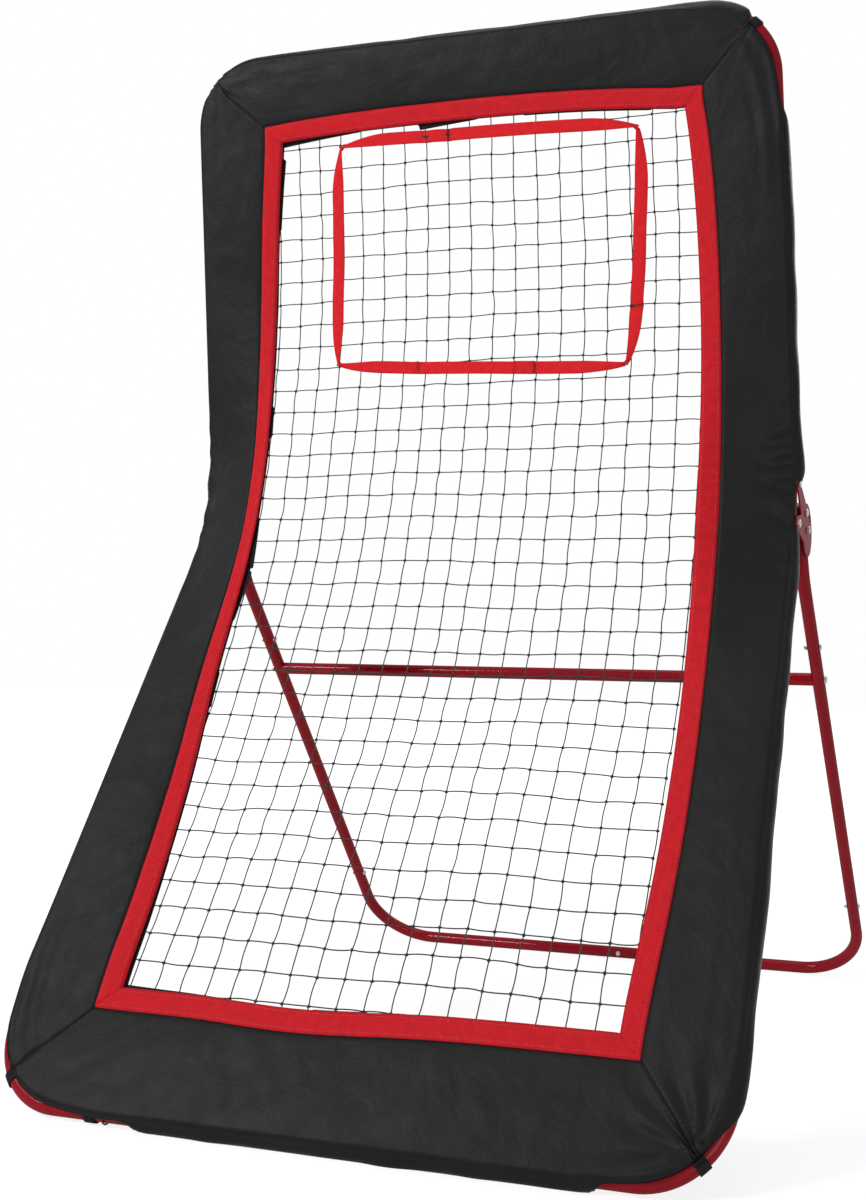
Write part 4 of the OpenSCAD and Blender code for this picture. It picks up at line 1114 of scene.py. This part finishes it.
# Two along the bottom and two along the top, and one at each corner's mitre
for p_end, flip in ((0.0, 1), (FULL, -1)):
    for s in (-1, 1):
        band(place(s * 0.400, p_end, 0), Vector((1, 0, 0)), surface_normal(0.3, p_end), 2.2 + s)
        spot = place(s * (SIDE - CUT), p_end + flip * CUT, 0)
        d = place(s * (SIDE - CUT) + s * 0.01, p_end + flip * (CUT + 0.01), 0) - spot
        band(spot, d, surface_normal(s * 0.59, p_end + flip * CUT), 1.0 + s, 0.0004)
tapes = bands.make("cover_tapes", M_HOOK)
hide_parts("cover_straps")

# ---------------------------------------------------------------- floor, light, camera
scene = bpy.context.scene


def floor():
    me = bpy.data.meshes.new("floor")
    size = 14
    corners = [(-size, -size, 0), (size, -size, 0), (size, size, 0), (-size, size, 0)]
    me.from_pydata(corners, [], [(0, 1, 2, 3)])
    ob = bpy.data.objects.new("floor", me)
    bpy.context.collection.objects.link(ob)
    m = bpy.data.materials.new("pale_floor")
    m.use_nodes = True
    t = m.node_tree
    t.nodes.clear()
    out = t.nodes.new("ShaderNodeOutputMaterial")
    d = t.nodes.new("ShaderNodeBsdfDiffuse")
    d.inputs[0].default_value = (0.93, 0.93, 0.93, 1)
    e = t.nodes.new("ShaderNodeEmission")
    e.inputs[0].default_value = (1, 1, 1, 1)
    e.inputs[1].default_value = 1.18
    mix = t.nodes.new("ShaderNodeMixShader")
    far = node(t, "ShaderNodeVectorMath", operation="LENGTH")
    t.links.new(coordinates(t), far.inputs[0])
    pale = node(t, "ShaderNodeMapRange", interpolation_type="SMOOTHSTEP")
    t.links.new(far.outputs["Value"], pale.inputs["Value"])
    for key, value in (("From Min", 1.1), ("From Max", 2.6), ("To Min", 0.70), ("To Max", 1.0)):
        pale.inputs[key].default_value = value
    seen = maths(t, "MULTIPLY", seen_rays(t), pale.outputs["Result"])
    t.links.new(seen, mix.inputs[0])
    t.links.new(d.outputs[0], mix.inputs[1])
    t.links.new(e.outputs[0], mix.inputs[2])
    t.links.new(mix.outputs[0], out.inputs[0])
    me.materials.append(m)


floor()
world = bpy.data.worlds.new("studio")
scene.world = world
world.use_nodes = True
wt = world.node_tree
wt.nodes.clear()
wo = wt.nodes.new("ShaderNodeOutputWorld")
soft, white = wt.nodes.new("ShaderNodeBackground"), wt.nodes.new("ShaderNodeBackground")
soft.inputs[0].default_value, soft.inputs[1].default_value = (1, 1, 1, 1), 0.20
white.inputs[0].default_value, white.inputs[1].default_value = (1, 1, 1, 1), 1.0
mx = wt.nodes.new("ShaderNodeMixShader")
wt.links.new(seen_rays(wt), mx.inputs[0])
wt.links.new(soft.outputs[0], mx.inputs[1])
wt.links.new(white.outputs[0], mx.inputs[2])
wt.links.new(mx.outputs[0], wo.inputs[0])


def lamp(name, at, to, power, size):
    d = bpy.data.lights.new(name, "AREA")
    d.energy, d.size = power, size
    ob = bpy.data.objects.new(name, d)
    bpy.context.collection.objects.link(ob)
    ob.location = at
    ob.rotation_mode = "QUATERNION"
    ob.rotation_quaternion = (Vector(to) - Vector(at)).to_track_quat("-Z", "Y")


lamp("key", (-2.7, -3.9, 3.2), (0, -0.3, 1.2), 185, 1.3)
lamp("fill", (2.8, -4.0, 1.0), (0, -0.2, 0.9), 55, 2.0)
lamp("top", (0.3, 0.2, 4.6), (0, -0.1, 0.9), 50, 2.4)
lamp("rear", (1.5, 4.0, 2.8), (0, 0, 0.9), 50, 2.4)

# The camera as fitted to the picture: turn, place, and focal length and optical centre in pixels
YAW, PITCH, ROLL = (math.radians(a) for a in (18.8565, 9.1282, 0.7341))
EYE = (1.0644, -2.1588 - MID_Y, 0.7577 + 0.0045)
WIDE_PX, HIGH_PX, FOCAL_PX, CENTRE_PX = 866, 1200, 1513.6, (543.0, 392.3)
fwd = Vector((-math.sin(YAW) * math.cos(PITCH), math.cos(YAW) * math.cos(PITCH), math.sin(PITCH)))
right = Vector((math.cos(YAW), math.sin(YAW), 0))
up = right.cross(fwd)
r2 = right * math.cos(ROLL) + up * math.sin(ROLL)
u2 = -right * math.sin(ROLL) + up * math.cos(ROLL)
cam = bpy.data.cameras.new("camera")
cam.lens = FOCAL_PX / HIGH_PX * cam.sensor_width
cam.shift_x = (WIDE_PX / 2 - CENTRE_PX[0]) / HIGH_PX
cam.shift_y = (CENTRE_PX[1] - HIGH_PX / 2) / HIGH_PX
cam.clip_end = 100
camera = bpy.data.objects.new("camera", cam)
bpy.context.collection.objects.link(camera)
camera.matrix_world = Matrix(((r2.x, u2.x, -fwd.x, EYE[0]), (r2.y, u2.y, -fwd.y, EYE[1]),
                              (r2.z, u2.z, -fwd.z, EYE[2]), (0, 0, 0, 1)))
scene.camera = camera
scene.view_settings.view_transform = "Standard"
